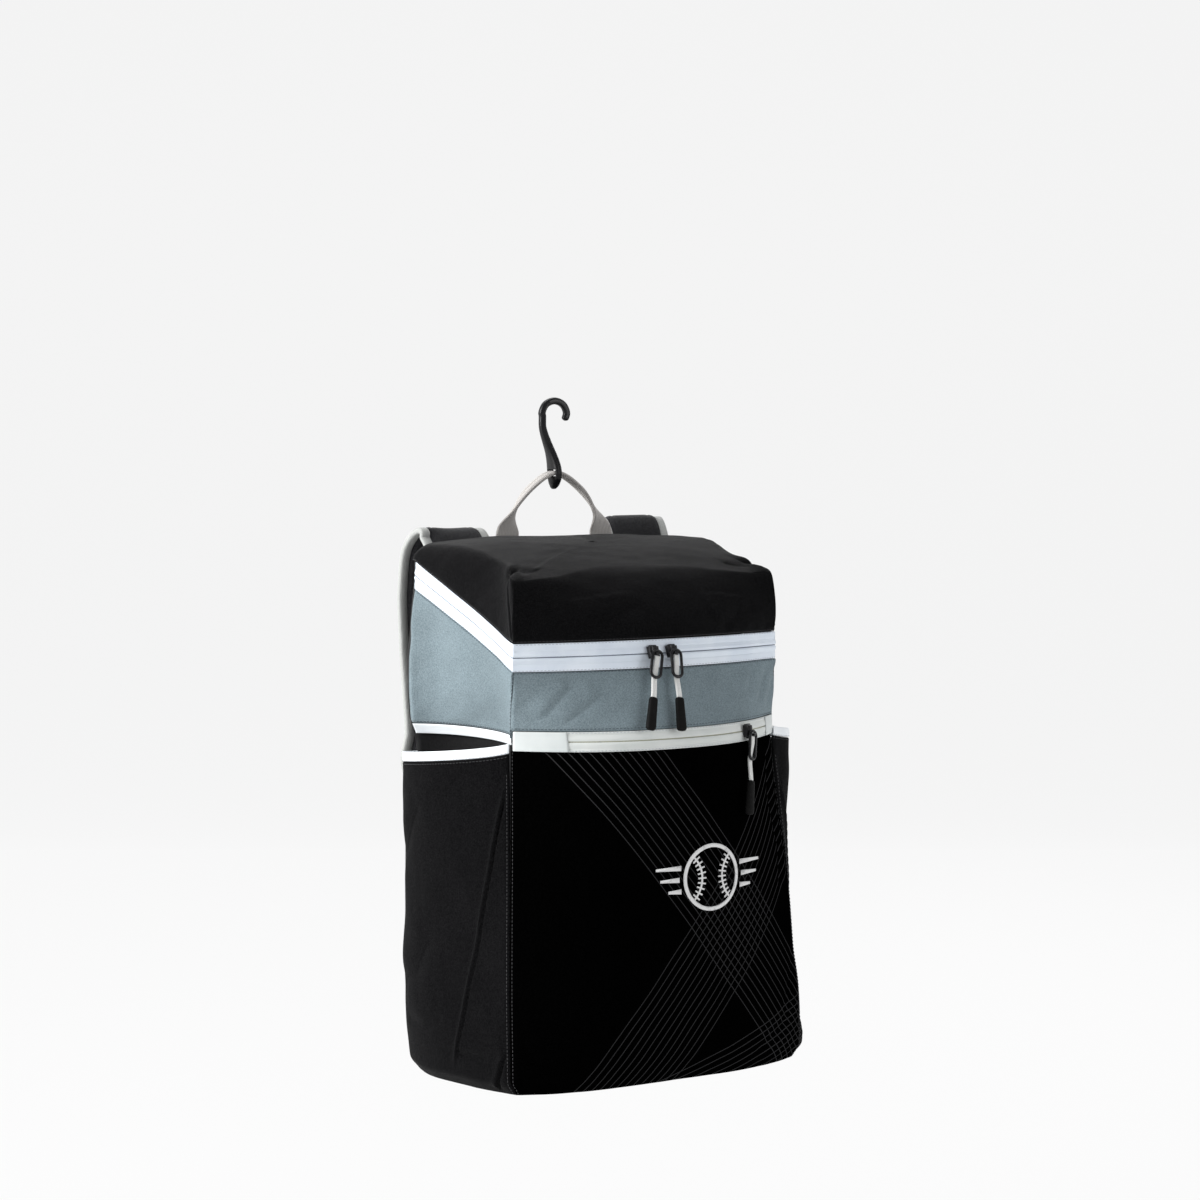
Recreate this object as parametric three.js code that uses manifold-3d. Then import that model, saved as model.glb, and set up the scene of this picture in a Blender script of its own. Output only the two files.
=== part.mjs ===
// Bat backpack shown hanging from its fence hook. Millimetres, +Z up, front toward -Y, +X to the right.
// The pieces are laid out from the middle of the base, then moved so that the inside of the hook's crook
// is the origin.
import * as THREE from 'three';
import Module from 'manifold-3d';
import { mergeVertices } from 'three/addons/utils/BufferGeometryUtils.js';

const wasm = await Module();
wasm.setup();

// Driving sizes: heights of the front, from the base up
const pocketHeight = 288;
const pocketZipHeight = 17;
const bandHeight = 50;
const topZipHeight = 24;
const lidRise = 82;

// Driving sizes: plan of the bag
const bodyWidth = 294;
const bodyDepth = 185;
const backPlane = 77;
const backCornerRadius = 20;
const frontSwell = 56;
const pocketDepth = 22;
const sleeveSwell = 32;
const bodyWaist = 22;

// Driving sizes: the zip's climb along the sides, the sleeves' mouths and the lid
const zipClimb = 0.48;
const sleeveMouthDrop = 20;
const lidShoulder = 19;
const lidFrontFall = 36;

// Driving sizes: cloth, padding, gaps
const cloth = 2;
const clearance = 0.3;
const basePlate = 3;
const tapeThickness = 1.4;
const bindingHeight = 9;
const backPadThickness = 7.5;
const backPadWidth = 214;
const yokeWidth = 250;
const yokeHeight = 20;

// Driving sizes: straps, webbing, handle
const strapWidth = 68;
const strapThickness = 12;
const strapSpread = 93;
const strapStandOff = 29;
const webbingWidth = 25;
const webbingThickness = 2;
const handleSpread = 49;
const handleRise = 75;
const lockWidth = 32;
const lockHeight = 30;
const lockBar = 5;
const lockDepth = 4;
const tailLength = 70;
const anchorHeight = 48;

// Driving sizes: fence hook
const hookWire = 6.4;
const crookRadius = 13;
const hookShank = 46;
const eyeHeight = 34;
const eyeDepth = 22;
const eyeWidth = 9;

// Driving sizes: zip sliders and pulls
const sliderWidth = 11;
const sliderHeight = 13;
const sliderDepth = 5;
const loopLength = 27;
const loopWidth = 12;
const loopWire = 2.6;
const pullCord = 3;
const pullCordLength = 17;
const tipLength = 29;
const tipWidth = 9;

const bandBottom = pocketHeight + pocketZipHeight;
const bandTop = bandBottom + bandHeight;
const lidFrontRim = bandTop + topZipHeight;
const bagTop = lidFrontRim + lidRise;
const skinInset = cloth + clearance;

// Level sections of the bag. Heights are shares of bandTop, width at the front seams and back shares of
// bodyWidth, depths of bodyDepth, swell of frontSwell, pocket of pocketDepth, sleeve of sleeveSwell and waist
// of bodyWaist.
// Crown is the power of the front's curve, and cheek says how full the sleeves are beside the front seams.
const SECTION_COLUMNS = [
  'height', 'width', 'back', 'depth', 'swell', 'crown', 'pocket', 'sleeve', 'cheek', 'waist'];
const SECTIONS = [
  [0.000, 0.955, 0.96, 0.990, 0.390, 4.0, 0.00, 0.80, 0.25, 0.50],
  [0.034, 0.997, 0.98, 1.000, 0.460, 3.6, 0.10, 0.90, 0.25, 0.80],
  [0.170, 0.993, 1.00, 0.989, 0.590, 3.0, 0.55, 0.94, 0.20, 1.00],
  [0.280, 0.976, 1.00, 0.962, 0.710, 2.8, 0.77, 0.95, 0.10, 1.00],
  [0.490, 0.952, 1.00, 0.932, 0.830, 2.5, 0.90, 0.95, 0.15, 1.00],
  [0.670, 0.915, 1.01, 0.881, 0.960, 2.4, 0.95, 0.93, 0.50, 1.00],
  [0.810, 0.898, 1.03, 0.854, 1.000, 2.4, 0.90, 0.89, 0.80, 0.90],
  [0.860, 0.898, 1.07, 0.859, 0.875, 2.3, 0.70, 0.87, 0.80, 0.80],
  [1.000, 0.898, 1.08, 0.881, 0.410, 2.1, 0.00, 0.87, 0.80, 0.45],
  [1.070, 0.895, 1.06, 0.886, 0.300, 2.0, 0.00, 0.87, 0.80, 0.30],
  [1.300, 0.885, 1.03, 0.886, 0.250, 2.0, 0.00, 0.87, 0.80, 0.10],
].map((row) => Object.fromEntries(SECTION_COLUMNS.map((name, k) => [name, row[k]])));

// Stations round the left half of the bag, from the middle of the back to the middle of the front. The
// stations beside each seam leave a small gap between the panels that meet there.
const SEAM = 0.002;
const ZIP_END = 0.014;
const STATIONS = [
  ...[0, 0.33, 0.66].map((t) => ({ part: 'back', t })),
  ...[0, 0.35, 0.7].map((t) => ({ part: 'corner', t })),
  { part: 'side', t: 0 },
  { part: 'side', t: SEAM },
  ...[0.12, 0.25, 0.38, 0.5, 0.62, 0.75, 0.88].map((t) => ({ part: 'side', t })),
  { part: 'side', t: 1 - SEAM },
  { part: 'front', t: SEAM },
  { part: 'front', t: ZIP_END },
  ...[0.08, 0.2, 0.36, 0.54, 0.76, 1].map((t) => ({ part: 'front', t })),
];
const HALF = STATIONS.length - 1;
const RING = 2 * HALF;
const stationOf = (part, t) => STATIONS.findIndex((station) => station.part === part && station.t === t);
const BACK_SEAM = stationOf('side', 0);
const SIDE_START = stationOf('side', SEAM);
const SIDE_END = stationOf('side', 1 - SEAM);
const FRONT_START = stationOf('front', SEAM);
const ZIP_START = stationOf('front', ZIP_END);

const mix = (a, b, t) => a + (b - a) * t;
const clamp01 = (t) => Math.min(1, Math.max(0, t));
const range = (from, to) => Array.from({ length: to - from + 1 }, (_, k) => from + k);
const vector = (x, y, z) => new THREE.Vector3(x, y, z);

// A smooth curve through the rows of a table that never swings past their values.
function sample(table, key, column, at) {
  const last = table.length - 1;
  if (at <= table[0][key]) return table[0][column];
  if (at >= table[last][key]) return table[last][column];
  const k = table.findIndex((row) => row[key] > at) - 1;
  const rise = (from, to) => (table[to][column] - table[from][column]) / (table[to][key] - table[from][key]);
  const slopeAt = (row) => {
    if (row === 0 || row === last) return 0;
    const [before, after] = [rise(row - 1, row), rise(row, row + 1)];
    return before * after <= 0 ? 0 : (2 * before * after) / (before + after);
  };
  const [a, b] = [table[k], table[k + 1]];
  const span = b[key] - a[key];
  const t = (at - a[key]) / span;
  const t2 = t * t;
  const t3 = t2 * t;
  return (2 * t3 - 3 * t2 + 1) * a[column] + (t3 - 2 * t2 + t) * span * slopeAt(k)
    + (3 * t2 - 2 * t3) * b[column] + (t3 - t2) * span * slopeAt(k + 1);
}
const section = (column, z) => sample(SECTIONS, 'height', column, z / bandTop);

// One point of the left half at a station. Shape says how far the sides and the front stand out.
function halfPoint(station, z, shape) {
  const halfWidth = (section('width', z) * bodyWidth) / 2;
  const seamY = backPlane - section('depth', z) * bodyDepth;
  const backWidth = (section('back', z) * bodyWidth) / 2;
  const backY = backPlane + shape.behind;
  const cornerY = backY - backCornerRadius;
  const { part, t } = station;
  if (part === 'back') return [-(backWidth - backCornerRadius) * t, backY];
  if (part === 'corner') {
    const angle = (t * Math.PI) / 2;
    return [
      -(backWidth - backCornerRadius) - backCornerRadius * Math.sin(angle),
      cornerY + backCornerRadius * Math.cos(angle),
    ];
  }
  if (part === 'side') {
    const length = cornerY - seamY;
    const swell = shape.side(z);
    const cheek = section('cheek', z);
    const curve = new THREE.CubicBezierCurve(
      new THREE.Vector2(-backWidth, cornerY),
      new THREE.Vector2(-backWidth - 2.15 * swell, cornerY - 0.2 * length),
      new THREE.Vector2(-halfWidth - mix(0.85, 1.4, cheek) * swell, seamY + mix(0.36, 0.12, cheek) * length),
      new THREE.Vector2(-halfWidth, seamY),
    );
    return curve.getPoint(t).toArray();
  }
  const across = 1 - t;
  return [-halfWidth * across, seamY - shape.front(z) * (1 - across ** section('crown', z))];
}

// Skin: the bag with its sleeves and pocket. Upper: the bag above the sleeves. Body: the main compartment's
// own walls.
const SHAPES = {
  skin: {
    behind: 0,
    side: (z) => section('sleeve', z) * sleeveSwell,
    front: (z) => section('swell', z) * frontSwell,
  },
  upper: {
    behind: 0,
    side: (z) => -section('waist', z) * bodyWaist,
    front: (z) => section('swell', z) * frontSwell,
  },
  body: {
    behind: skinInset,
    side: (z) => -section('waist', z) * bodyWaist,
    front: (z) => section('swell', z) * frontSwell - section('pocket', z) * pocketDepth,
  },
};

function ringAt(shapeName, z) {
  const left = STATIONS.map((station) => halfPoint(station, z, SHAPES[shapeName]));
  const right = left.slice(1, HALF).reverse().map(([x, y]) => [-x, y]);
  return [...left, ...right];
}

// Moves every point of a closed ring inward by a distance, square to the outline there.
function inset(ring, distance) {
  const count = ring.length;
  return ring.map((point, k) => {
    const before = ring[(k + count - 1) % count];
    const after = ring[(k + 1) % count];
    const inLength = Math.hypot(point[0] - before[0], point[1] - before[1]);
    const outLength = Math.hypot(after[0] - point[0], after[1] - point[1]);
    const normalIn = [(point[1] - before[1]) / inLength, (before[0] - point[0]) / inLength];
    const normalOut = [(after[1] - point[1]) / outLength, (point[0] - after[0]) / outLength];
    const middle = [normalIn[0] + normalOut[0], normalIn[1] + normalOut[1]];
    const length = Math.hypot(...middle);
    const unit = [middle[0] / length, middle[1] / length];
    const reach = distance / Math.max(0.5, unit[0] * normalIn[0] + unit[1] * normalIn[1]);
    return [point[0] - unit[0] * reach, point[1] - unit[1] * reach];
  });
}

const rings = new Map();
function wallPoint(shapeName, z, station, distance) {
  const key = `${shapeName} ${z.toFixed(3)} ${distance}`;
  if (!rings.has(key)) rings.set(key, inset(ringAt(shapeName, z), distance));
  const [x, y] = rings.get(key)[((station % RING) + RING) % RING];
  return vector(x, y, z);
}

// Closed geometry from triangles of points: merges equal points, drops collapsed faces and turns all faces
// outward.
function solid(triangles) {
  const places = new Map();
  const positions = [];
  const indexOf = (p) => {
    const key = [p.x, p.y, p.z].map((value) => Math.round(value * 1e3)).join(' ');
    if (!places.has(key)) {
      places.set(key, positions.length / 3);
      positions.push(p.x, p.y, p.z);
    }
    return places.get(key);
  };
  const faces = triangles.map((corners) => corners.map(indexOf))
    .filter(([a, b, c]) => a !== b && b !== c && c !== a);
  const at = (k) => vector(...positions.slice(3 * k, 3 * k + 3));
  const volume = faces.reduce((sum, [a, b, c]) => sum + at(a).dot(at(b).cross(at(c))), 0);
  if (volume < 0) faces.forEach((face) => face.reverse());
  const geometry = new THREE.BufferGeometry();
  geometry.setAttribute('position', new THREE.Float32BufferAttribute(positions, 3));
  geometry.setIndex(faces.flat());
  geometry.computeVertexNormals();
  return geometry;
}

const quad = (a, b, c, d) => [[a, b, c], [a, c, d]];

// A cloth wall: rows of outer points and the matching inner points, closed along every open edge.
function cloth3d(outer, inner, { ring = false } = {}) {
  const rows = outer.length;
  const columns = outer[0].length;
  const last = rows - 1;
  const end = columns - 1;
  const triangles = [];
  const spans = ring ? columns : columns - 1;
  for (let i = 0; i < rows - 1; i += 1) {
    for (let j = 0; j < spans; j += 1) {
      const next = (j + 1) % columns;
      triangles.push(...quad(outer[i][j], outer[i][next], outer[i + 1][next], outer[i + 1][j]));
      triangles.push(...quad(inner[i][j], inner[i + 1][j], inner[i + 1][next], inner[i][next]));
    }
  }
  for (let j = 0; j < spans; j += 1) {
    const next = (j + 1) % columns;
    triangles.push(...quad(outer[0][j], inner[0][j], inner[0][next], outer[0][next]));
    triangles.push(...quad(outer[last][j], outer[last][next], inner[last][next], inner[last][j]));
  }
  if (!ring) {
    for (let i = 0; i < rows - 1; i += 1) {
      triangles.push(...quad(outer[i][0], outer[i + 1][0], inner[i + 1][0], inner[i][0]));
      triangles.push(...quad(outer[i][end], inner[i][end], inner[i + 1][end], outer[i + 1][end]));
    }
  }
  return solid(triangles);
}

// Height lines at shares of the way from a bottom line to a top line.
const between = (bottom, top, shares) => shares.map(
  (share) => (station) => mix(bottom(station), top(station), share));

// A wall that follows an outline through a row of height lines, over a run of stations.
function wall(shapeName, stations, levels, { outset = 0, thickness = cloth, ring = false } = {}) {
  const grid = (distance) => levels.map((level) => stations.map(
    (station) => wallPoint(shapeName, level(station), station, distance)));
  return cloth3d(grid(-outset), grid(thickness - outset), { ring });
}

// A solid through a row of closed cross-sections, with flat ends or back round to the first one.
function loft(crossSections, closed = false) {
  const triangles = [];
  const count = crossSections[0].length;
  const spans = closed ? crossSections.length : crossSections.length - 1;
  for (let k = 0; k < spans; k += 1) {
    for (let j = 0; j < count; j += 1) {
      const next = (j + 1) % count;
      const [a, b] = [crossSections[k], crossSections[(k + 1) % crossSections.length]];
      triangles.push(...quad(a[j], a[next], b[next], b[j]));
    }
  }
  if (closed) return solid(triangles);
  const fan = (points, flip) => range(1, count - 2).map((j) => (
    flip ? [points[0], points[j + 1], points[j]] : [points[0], points[j], points[j + 1]]));
  triangles.push(...fan(crossSections[0], true), ...fan(crossSections[crossSections.length - 1], false));
  return solid(triangles);
}

// Webbing or a strap along a curve: at each step a flat section, its width along a side direction.
function ribbon(curve, steps, { width, thickness, side, edge = 0 }) {
  const crossSections = range(0, steps).map((k) => {
    const t = k / steps;
    const centre = curve.getPoint(t);
    const tangent = curve.getTangent(t);
    const across = side(t).clone();
    across.addScaledVector(tangent, -across.dot(tangent)).normalize();
    const normal = new THREE.Vector3().crossVectors(tangent, across).normalize();
    const [w, h] = [width(t) / 2, thickness(t) / 2];
    const soft = Math.min(edge, h * 0.8);
    const corners = soft > 0
      ? [[-w, -h + soft], [-w + 2 * soft, -h], [w - 2 * soft, -h], [w, -h + soft],
        [w, h - soft], [w - 2 * soft, h], [-w + 2 * soft, h], [-w, h - soft]]
      : [[-w, -h], [w, -h], [w, h], [-w, h]];
    return corners.map(([u, v]) => centre.clone().addScaledVector(across, u).addScaledVector(normal, v));
  });
  return loft(crossSections);
}

const smoothPath = (points) => new THREE.CatmullRomCurve3(points, false, 'centripetal');

// Height lines, by station
const stationY = (shapeName, z, station) => wallPoint(shapeName, z, station, 0).y;
function climb(station) {
  const start = backPlane - section('depth', bandTop) * bodyDepth;
  const along = stationY('upper', bandTop, station) - start;
  const bend = 24;
  if (along <= 0) return 0;
  return along < bend ? (zipClimb * along * along) / (2 * bend) : zipClimb * (along - bend / 2);
}
const mirrored = (station) => (station > HALF ? RING - station : station);
const onFrontOrSide = (station) => mirrored(station) >= SIDE_START;
const zipLow = (station) => bandTop + climb(station);
const zipHigh = (station) => zipLow(station) + topZipHeight;
const zipMiddle = (station) => zipLow(station) + topZipHeight / 2;
const backRim = zipHigh(BACK_SEAM);
const lidRim = (station) => (onFrontOrSide(station) ? zipHigh(station) : backRim);
const bodyRim = (station) => (onFrontOrSide(station) ? zipLow(station) : backRim) - clearance;
const sideShare = (station) => clamp01((SIDE_END - mirrored(station)) / (SIDE_END - SIDE_START));
const mouth = (station) => bandBottom - 10 - sleeveMouthDrop * sideShare(station) ** 0.8;
const onFront = (station) => mirrored(station) >= FRONT_START;
const bandFoot = (station) => (onFront(station) ? bandBottom : bandBottom - 6);

const WRAP = range(SIDE_START, RING - SIDE_START);
const FRONT = range(FRONT_START, RING - FRONT_START);
const SIDES = {
  left: range(SIDE_START, SIDE_END),
  right: range(RING - SIDE_END, RING - SIDE_START),
};
const ALL = range(0, RING - 1);
const LOWER_SHARES = [0.04, 0.16, 0.32, 0.5, 0.7];
const BAND_SHARES = [0, 0.35, 0.7, 1];
const lowerLevels = LOWER_SHARES.map((share) => () => share * pocketHeight);
const stripFoot = (station) => Math.max(bandBottom - 15, mouth(station) + 2 * clearance);

const fabric = (name, color, roughness = 0.9) => new THREE.MeshStandardMaterial(
  { name, color, roughness, metalness: 0 });
const MATERIALS = {
  black: fabric('black_polyester', 0x1b1b1d),
  grey: fabric('grey_polyester', 0x7f898d),
  mesh: fabric('black_padding', 0x222224),
  white: fabric('white_tape', 0xe4e8ea, 0.75),
  webbing: fabric('black_webbing', 0x202022, 0.85),
  handle: fabric('grey_webbing', 0xa5a19d, 0.85),
  cord: fabric('white_cord', 0xe8e8e6, 0.8),
  plastic: fabric('black_plastic', 0x101012, 0.3),
  metal: new THREE.MeshStandardMaterial(
    { name: 'black_metal', color: 0x141416, roughness: 0.35, metalness: 0.6 }),
};

const bag = new THREE.Group();
function add(name, material, geometry) {
  const mesh = new THREE.Mesh(geometry, MATERIALS[material]);
  mesh.name = name;
  bag.add(mesh);
  return mesh;
}

// Base: one flat plate under the compartment, the pocket and both sleeves
function basePanel() {
  const outline = inset(ringAt('skin', 0), cloth + clearance);
  const levels = [0, basePlate].map((z) => outline.map(([x, y]) => vector(x, y, z)));
  return loft(levels);
}

// Body: the main compartment's wall, standing on the base and open at the top
const bodyLevels = [
  () => basePlate + clearance,
  ...lowerLevels,
  () => 0.86 * pocketHeight,
  () => bandBottom - 15,
  ...between(bandFoot, (station) => zipLow(station) - clearance, BAND_SHARES.slice(0, -1)),
  bodyRim,
];
const mainBody = () => wall('body', ALL, bodyLevels, { outset: -skinInset, ring: true });

// Pocket: the swelling front panel, sewn along both front seams
const pocketTop = () => pocketHeight - clearance;
const frontPocket = () => wall('skin', FRONT,
  [() => 0, ...lowerLevels, () => 0.86 * pocketHeight, pocketTop]);
const pocketZip = () => wall('upper', range(ZIP_START, RING - ZIP_START),
  between(() => pocketHeight, () => bandBottom - clearance, [0, 0.5, 1]), { thickness: tapeThickness });

// Sleeves: one swelling panel on each side, open at the top, with a bound edge
const bindingFoot = (station) => mouth(station) - bindingHeight;
const sleeve = (side) => wall('skin', SIDES[side], [
  () => 0,
  ...lowerLevels,
  (station) => mix(0.7 * pocketHeight, bindingFoot(station), 0.5),
  (station) => bindingFoot(station) - clearance,
]);
const sleeveBinding = (side) => wall('skin', SIDES[side], between(bindingFoot, mouth, [0, 0.5, 1]));

// Band, side strips and the two tapes of the top zip
const bandRim = (station) => zipLow(station) - clearance;
const greyBand = () => wall('upper', WRAP, between(bandFoot, bandRim, BAND_SHARES));
const sideStrip = (side) => wall('upper', SIDES[side],
  [stripFoot, (station) => bandFoot(station) - clearance], { thickness: tapeThickness });
const lowerTape = () => wall('upper', WRAP,
  [zipLow, (station) => zipMiddle(station) - clearance], { thickness: tapeThickness });
const upperTape = () => wall('upper', WRAP,
  [zipMiddle, (station) => zipHigh(station) - clearance], { thickness: tapeThickness });

// Lid: from its rim up and over to a point above the compartment. Inward is the share of the way to that
// point.
const LID_INWARD = [0, 0.03, 0.08, 0.15, 0.25, 0.42, 0.64, 0.85, 1];
const lidCentreY = 6;
const lidLevel = 30;
const lidSag = 5;
function lidTopAt(y) {
  const seam = backPlane - section('depth', lidFrontRim) * bodyDepth;
  const front = seam - section('swell', lidFrontRim) * frontSwell;
  const share = clamp01((y - front) / (backPlane - lidLevel - front));
  return bagTop - lidFrontFall * (1 - share) ** 1.9;
}
function lidPoint(station, inward, depth) {
  const rim = wallPoint('upper', lidRim(station), station, depth);
  const centre = vector(0, lidCentreY, 0);
  const distance = Math.hypot(rim.x - centre.x, rim.y - centre.y);
  const reach = clamp01(inward / (lidShoulder / distance));
  const rise = Math.sqrt(1 - (1 - reach) ** 2);
  const x = mix(rim.x, centre.x, inward);
  const y = mix(rim.y, centre.y, inward);
  const sag = lidSag * (Math.abs(x) / (bodyWidth / 2)) ** 2;
  const top = lidTopAt(y) - sag - depth;
  return vector(x, y, mix(rim.z, top, rise));
}
function lid() {
  const grid = (depth) => LID_INWARD.map((inward) => ALL.map((station) => lidPoint(station, inward, depth)));
  return cloth3d(grid(0), grid(cloth), { ring: true });
}

// Back: a padded panel and, above it, the yoke that holds the straps and the handle
const yokeFoot = backRim - yokeHeight - 4;
function roundedPlate(width, bottom, top, radius, thickness) {
  const shape = new THREE.Shape();
  const half = width / 2;
  shape.moveTo(-half + radius, bottom);
  shape.lineTo(half - radius, bottom);
  shape.absarc(half - radius, bottom + radius, radius, -Math.PI / 2, 0);
  shape.lineTo(half, top - radius);
  shape.absarc(half - radius, top - radius, radius, 0, Math.PI / 2);
  shape.lineTo(-half + radius, top);
  shape.absarc(-half + radius, top - radius, radius, Math.PI / 2, Math.PI);
  shape.lineTo(-half, bottom + radius);
  shape.absarc(-half + radius, bottom + radius, radius, Math.PI, 1.5 * Math.PI);
  return new THREE.ExtrudeGeometry(shape, { depth: thickness, bevelEnabled: false, curveSegments: 5 })
    .rotateX(Math.PI / 2).translate(0, thickness, 0);
}
const padFront = backPlane + clearance;
const padBack = padFront + backPadThickness;
const yokeFront = backPlane + webbingThickness + 2 * clearance;
const yokeBack = yokeFront + cloth;
const padRise = 26;
const padCorner = 26;
const yokeCorner = 6;
const padFoot = anchorHeight + padRise;
const backPad = () => roundedPlate(backPadWidth, padFoot, yokeFoot - 3, padCorner, backPadThickness)
  .translate(0, padFront, 0);
const yoke = () => roundedPlate(yokeWidth, yokeFoot, backRim - 2, yokeCorner, cloth)
  .translate(0, yokeFront, 0);

// Shoulder straps. Along is the share of the length, across and width shares of strapSpread and strapWidth,
// out of strapStandOff behind the yoke, height of bagTop, thick of strapThickness.
const STRAP_ROWS = [
  { along: 0 / 9, across: 1.0, out: 0.0, height: 0.93, width: 0.94, thick: 0.4 },
  { along: 1 / 9, across: 1.0, out: 0.05, height: 0.975, width: 0.98, thick: 0.5 },
  { along: 2 / 9, across: 1.0, out: 0.5, height: 1.005, width: 1.0, thick: 0.75 },
  { along: 3 / 9, across: 1.0, out: 0.95, height: 0.975, width: 1.0, thick: 0.95 },
  { along: 4 / 9, across: 1.0, out: 1.05, height: 0.9, width: 1.0, thick: 1.0 },
  { along: 5 / 9, across: 1.0, out: 1.05, height: 0.79, width: 0.97, thick: 1.0 },
  { along: 6 / 9, across: 1.05, out: 0.95, height: 0.69, width: 0.87, thick: 1.0 },
  { along: 7 / 9, across: 1.16, out: 0.86, height: 0.61, width: 0.7, thick: 0.95 },
  { along: 8 / 9, across: 1.32, out: 0.8, height: 0.56, width: 0.52, thick: 0.8 },
  { along: 9 / 9, across: 1.32, out: 0.8, height: 0.53, width: 0.44, thick: 0.6 },
];
const strapRow = (row, sign) => vector(
  sign * row.across * strapSpread,
  yokeBack + clearance + (row.thick * strapThickness) / 2 + row.out * strapStandOff,
  row.height * bagTop,
);
function strap(sign) {
  const curve = smoothPath(STRAP_ROWS.map((row) => strapRow(row, sign)));
  const along = (column, t) => sample(STRAP_ROWS, 'along', column, t);
  return ribbon(curve, 22, {
    width: (t) => along('width', t) * strapWidth,
    thickness: (t) => along('thick', t) * strapThickness,
    side: () => vector(1, 0, 0),
    edge: 2.5,
  });
}

// Ladder lock at the strap's lower end, with the webbing round its lower bar
const strapEnd = STRAP_ROWS[STRAP_ROWS.length - 1];
const lockX = strapEnd.across * strapSpread;
const lockY = strapRow(strapEnd, 1).y;
const lockTop = strapEnd.height * bagTop - 2 * clearance;
function ladderLock(sign) {
  const shape = new THREE.Shape();
  const half = lockWidth / 2;
  shape.moveTo(-half + 3, lockTop - lockHeight);
  shape.lineTo(half - 3, lockTop - lockHeight);
  shape.lineTo(half, lockTop - lockHeight + 3);
  shape.lineTo(half, lockTop);
  shape.lineTo(-half, lockTop);
  shape.lineTo(-half, lockTop - lockHeight + 3);
  const slotHalf = webbingWidth / 2 + 1;
  const slotHeight = (lockHeight - 3 * lockBar) / 2;
  for (const foot of [lockTop - lockHeight + lockBar, lockTop - lockBar - slotHeight]) {
    const slot = new THREE.Path();
    slot.moveTo(-slotHalf, foot);
    slot.lineTo(-slotHalf, foot + slotHeight);
    slot.lineTo(slotHalf, foot + slotHeight);
    slot.lineTo(slotHalf, foot);
    shape.holes.push(slot);
  }
  return new THREE.ExtrudeGeometry(shape, { depth: lockDepth, bevelEnabled: false })
    .rotateX(Math.PI / 2).translate(sign * lockX, lockY + lockDepth / 2, 0);
}
function lowerWebbing(sign) {
  const bar = lockTop - lockHeight + lockBar / 2;
  const round = Math.hypot(lockBar, lockDepth) / 2 + webbingThickness / 2 + 2 * clearance;
  const overBar = [0, 45, 90, 135, 180].map((angle) => THREE.MathUtils.degToRad(angle)).map((angle) => (
    vector(sign * lockX, lockY - round * Math.cos(angle), bar + round * Math.sin(angle))));
  const anchorX = (section('back', anchorHeight) * bodyWidth) / 2 - backCornerRadius - webbingWidth / 2 - 2;
  const anchorY = padFront + webbingThickness / 2;
  const tailY = lockY + round + 1;
  const curve = smoothPath([
    vector(sign * anchorX, anchorY, anchorHeight - 22),
    vector(sign * anchorX, anchorY, anchorHeight - 11),
    vector(sign * anchorX, anchorY + 1.4, anchorHeight - 2),
    vector(sign * mix(anchorX, lockX, 0.08), padBack + 3, padFoot - 6),
    vector(sign * mix(anchorX, lockX, 0.7), lockY - round - 1, mix(anchorHeight, bar, 0.7)),
    vector(sign * lockX, lockY - round, bar - 6),
    ...overBar,
    vector(sign * lockX, lockY + round, bar - 6),
    vector(sign * lockX, tailY, bar - tailLength),
  ]);
  return ribbon(curve, 48, {
    width: () => webbingWidth - 1,
    thickness: () => webbingThickness,
    side: () => vector(1, 0, 0),
  });
}

// Handle: webbing sewn flat behind the yoke, twisted and folded narrow where the hook takes it.
// Across is a share of handleSpread, up of handleRise, fold 0 flat and 1 folded, turn 0 facing back and 1
// facing up.
const HANDLE_ROWS = [
  { along: 0.0, across: 1.0, up: -0.26, fold: 0, turn: 0 },
  { along: 0.1, across: 1.0, up: 0.0, fold: 0, turn: 0 },
  { along: 0.2, across: 0.98, up: 0.3, fold: 0.05, turn: 0.05 },
  { along: 0.3, across: 0.78, up: 0.62, fold: 0.6, turn: 0.55 },
  { along: 0.4, across: 0.4, up: 0.89, fold: 1, turn: 0.95 },
  { along: 0.5, across: 0.0, up: 1.0, fold: 1, turn: 1 },
];
const handleFoot = backRim;
const handleY = backPlane + clearance + webbingThickness / 2;
const handleFold = { width: 14, thickness: 4 };
function handle() {
  const half = HANDLE_ROWS.map(
    (row) => vector(-row.across * handleSpread, handleY, handleFoot + row.up * handleRise));
  const other = half.slice(0, -1).reverse().map((point) => vector(-point.x, point.y, point.z));
  const curve = smoothPath([...half, ...other]);
  const along = (column, t) => sample(HANDLE_ROWS, 'along', column, Math.min(t, 1 - t));
  return ribbon(curve, 40, {
    width: (t) => mix(webbingWidth, handleFold.width, clamp01(along('fold', t))),
    thickness: (t) => mix(webbingThickness, handleFold.thickness, clamp01(along('fold', t))),
    side: (t) => {
      const angle = (clamp01(along('turn', t)) * Math.PI) / 2;
      return vector(Math.cos(angle), Math.sin(angle), 0);
    },
  });
}

// Fence hook: a round crook in the plane of the front, over an eye whose slot takes the handle
function toManifold(geometry) {
  const plain = new THREE.BufferGeometry();
  plain.setAttribute('position', geometry.getAttribute('position').clone());
  if (geometry.index) plain.setIndex(geometry.index.clone());
  const merged = mergeVertices(plain, 1e-4);
  return new wasm.Manifold(new wasm.Mesh({
    numProp: 3,
    vertProperties: new Float32Array(merged.getAttribute('position').array),
    triVerts: new Uint32Array(merged.index.array),
  }));
}
function fromManifold(manifold) {
  const { vertProperties, triVerts, numProp } = manifold.getMesh();
  const point = (k) => vector(...vertProperties.slice(numProp * k, numProp * k + 3));
  const triangles = range(0, triVerts.length / 3 - 1).map(
    (k) => [0, 1, 2].map((c) => point(triVerts[3 * k + c])));
  return solid(triangles);
}
const apex = handleFoot + handleRise;
const slotHeight = handleFold.thickness + 1.6;
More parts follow.
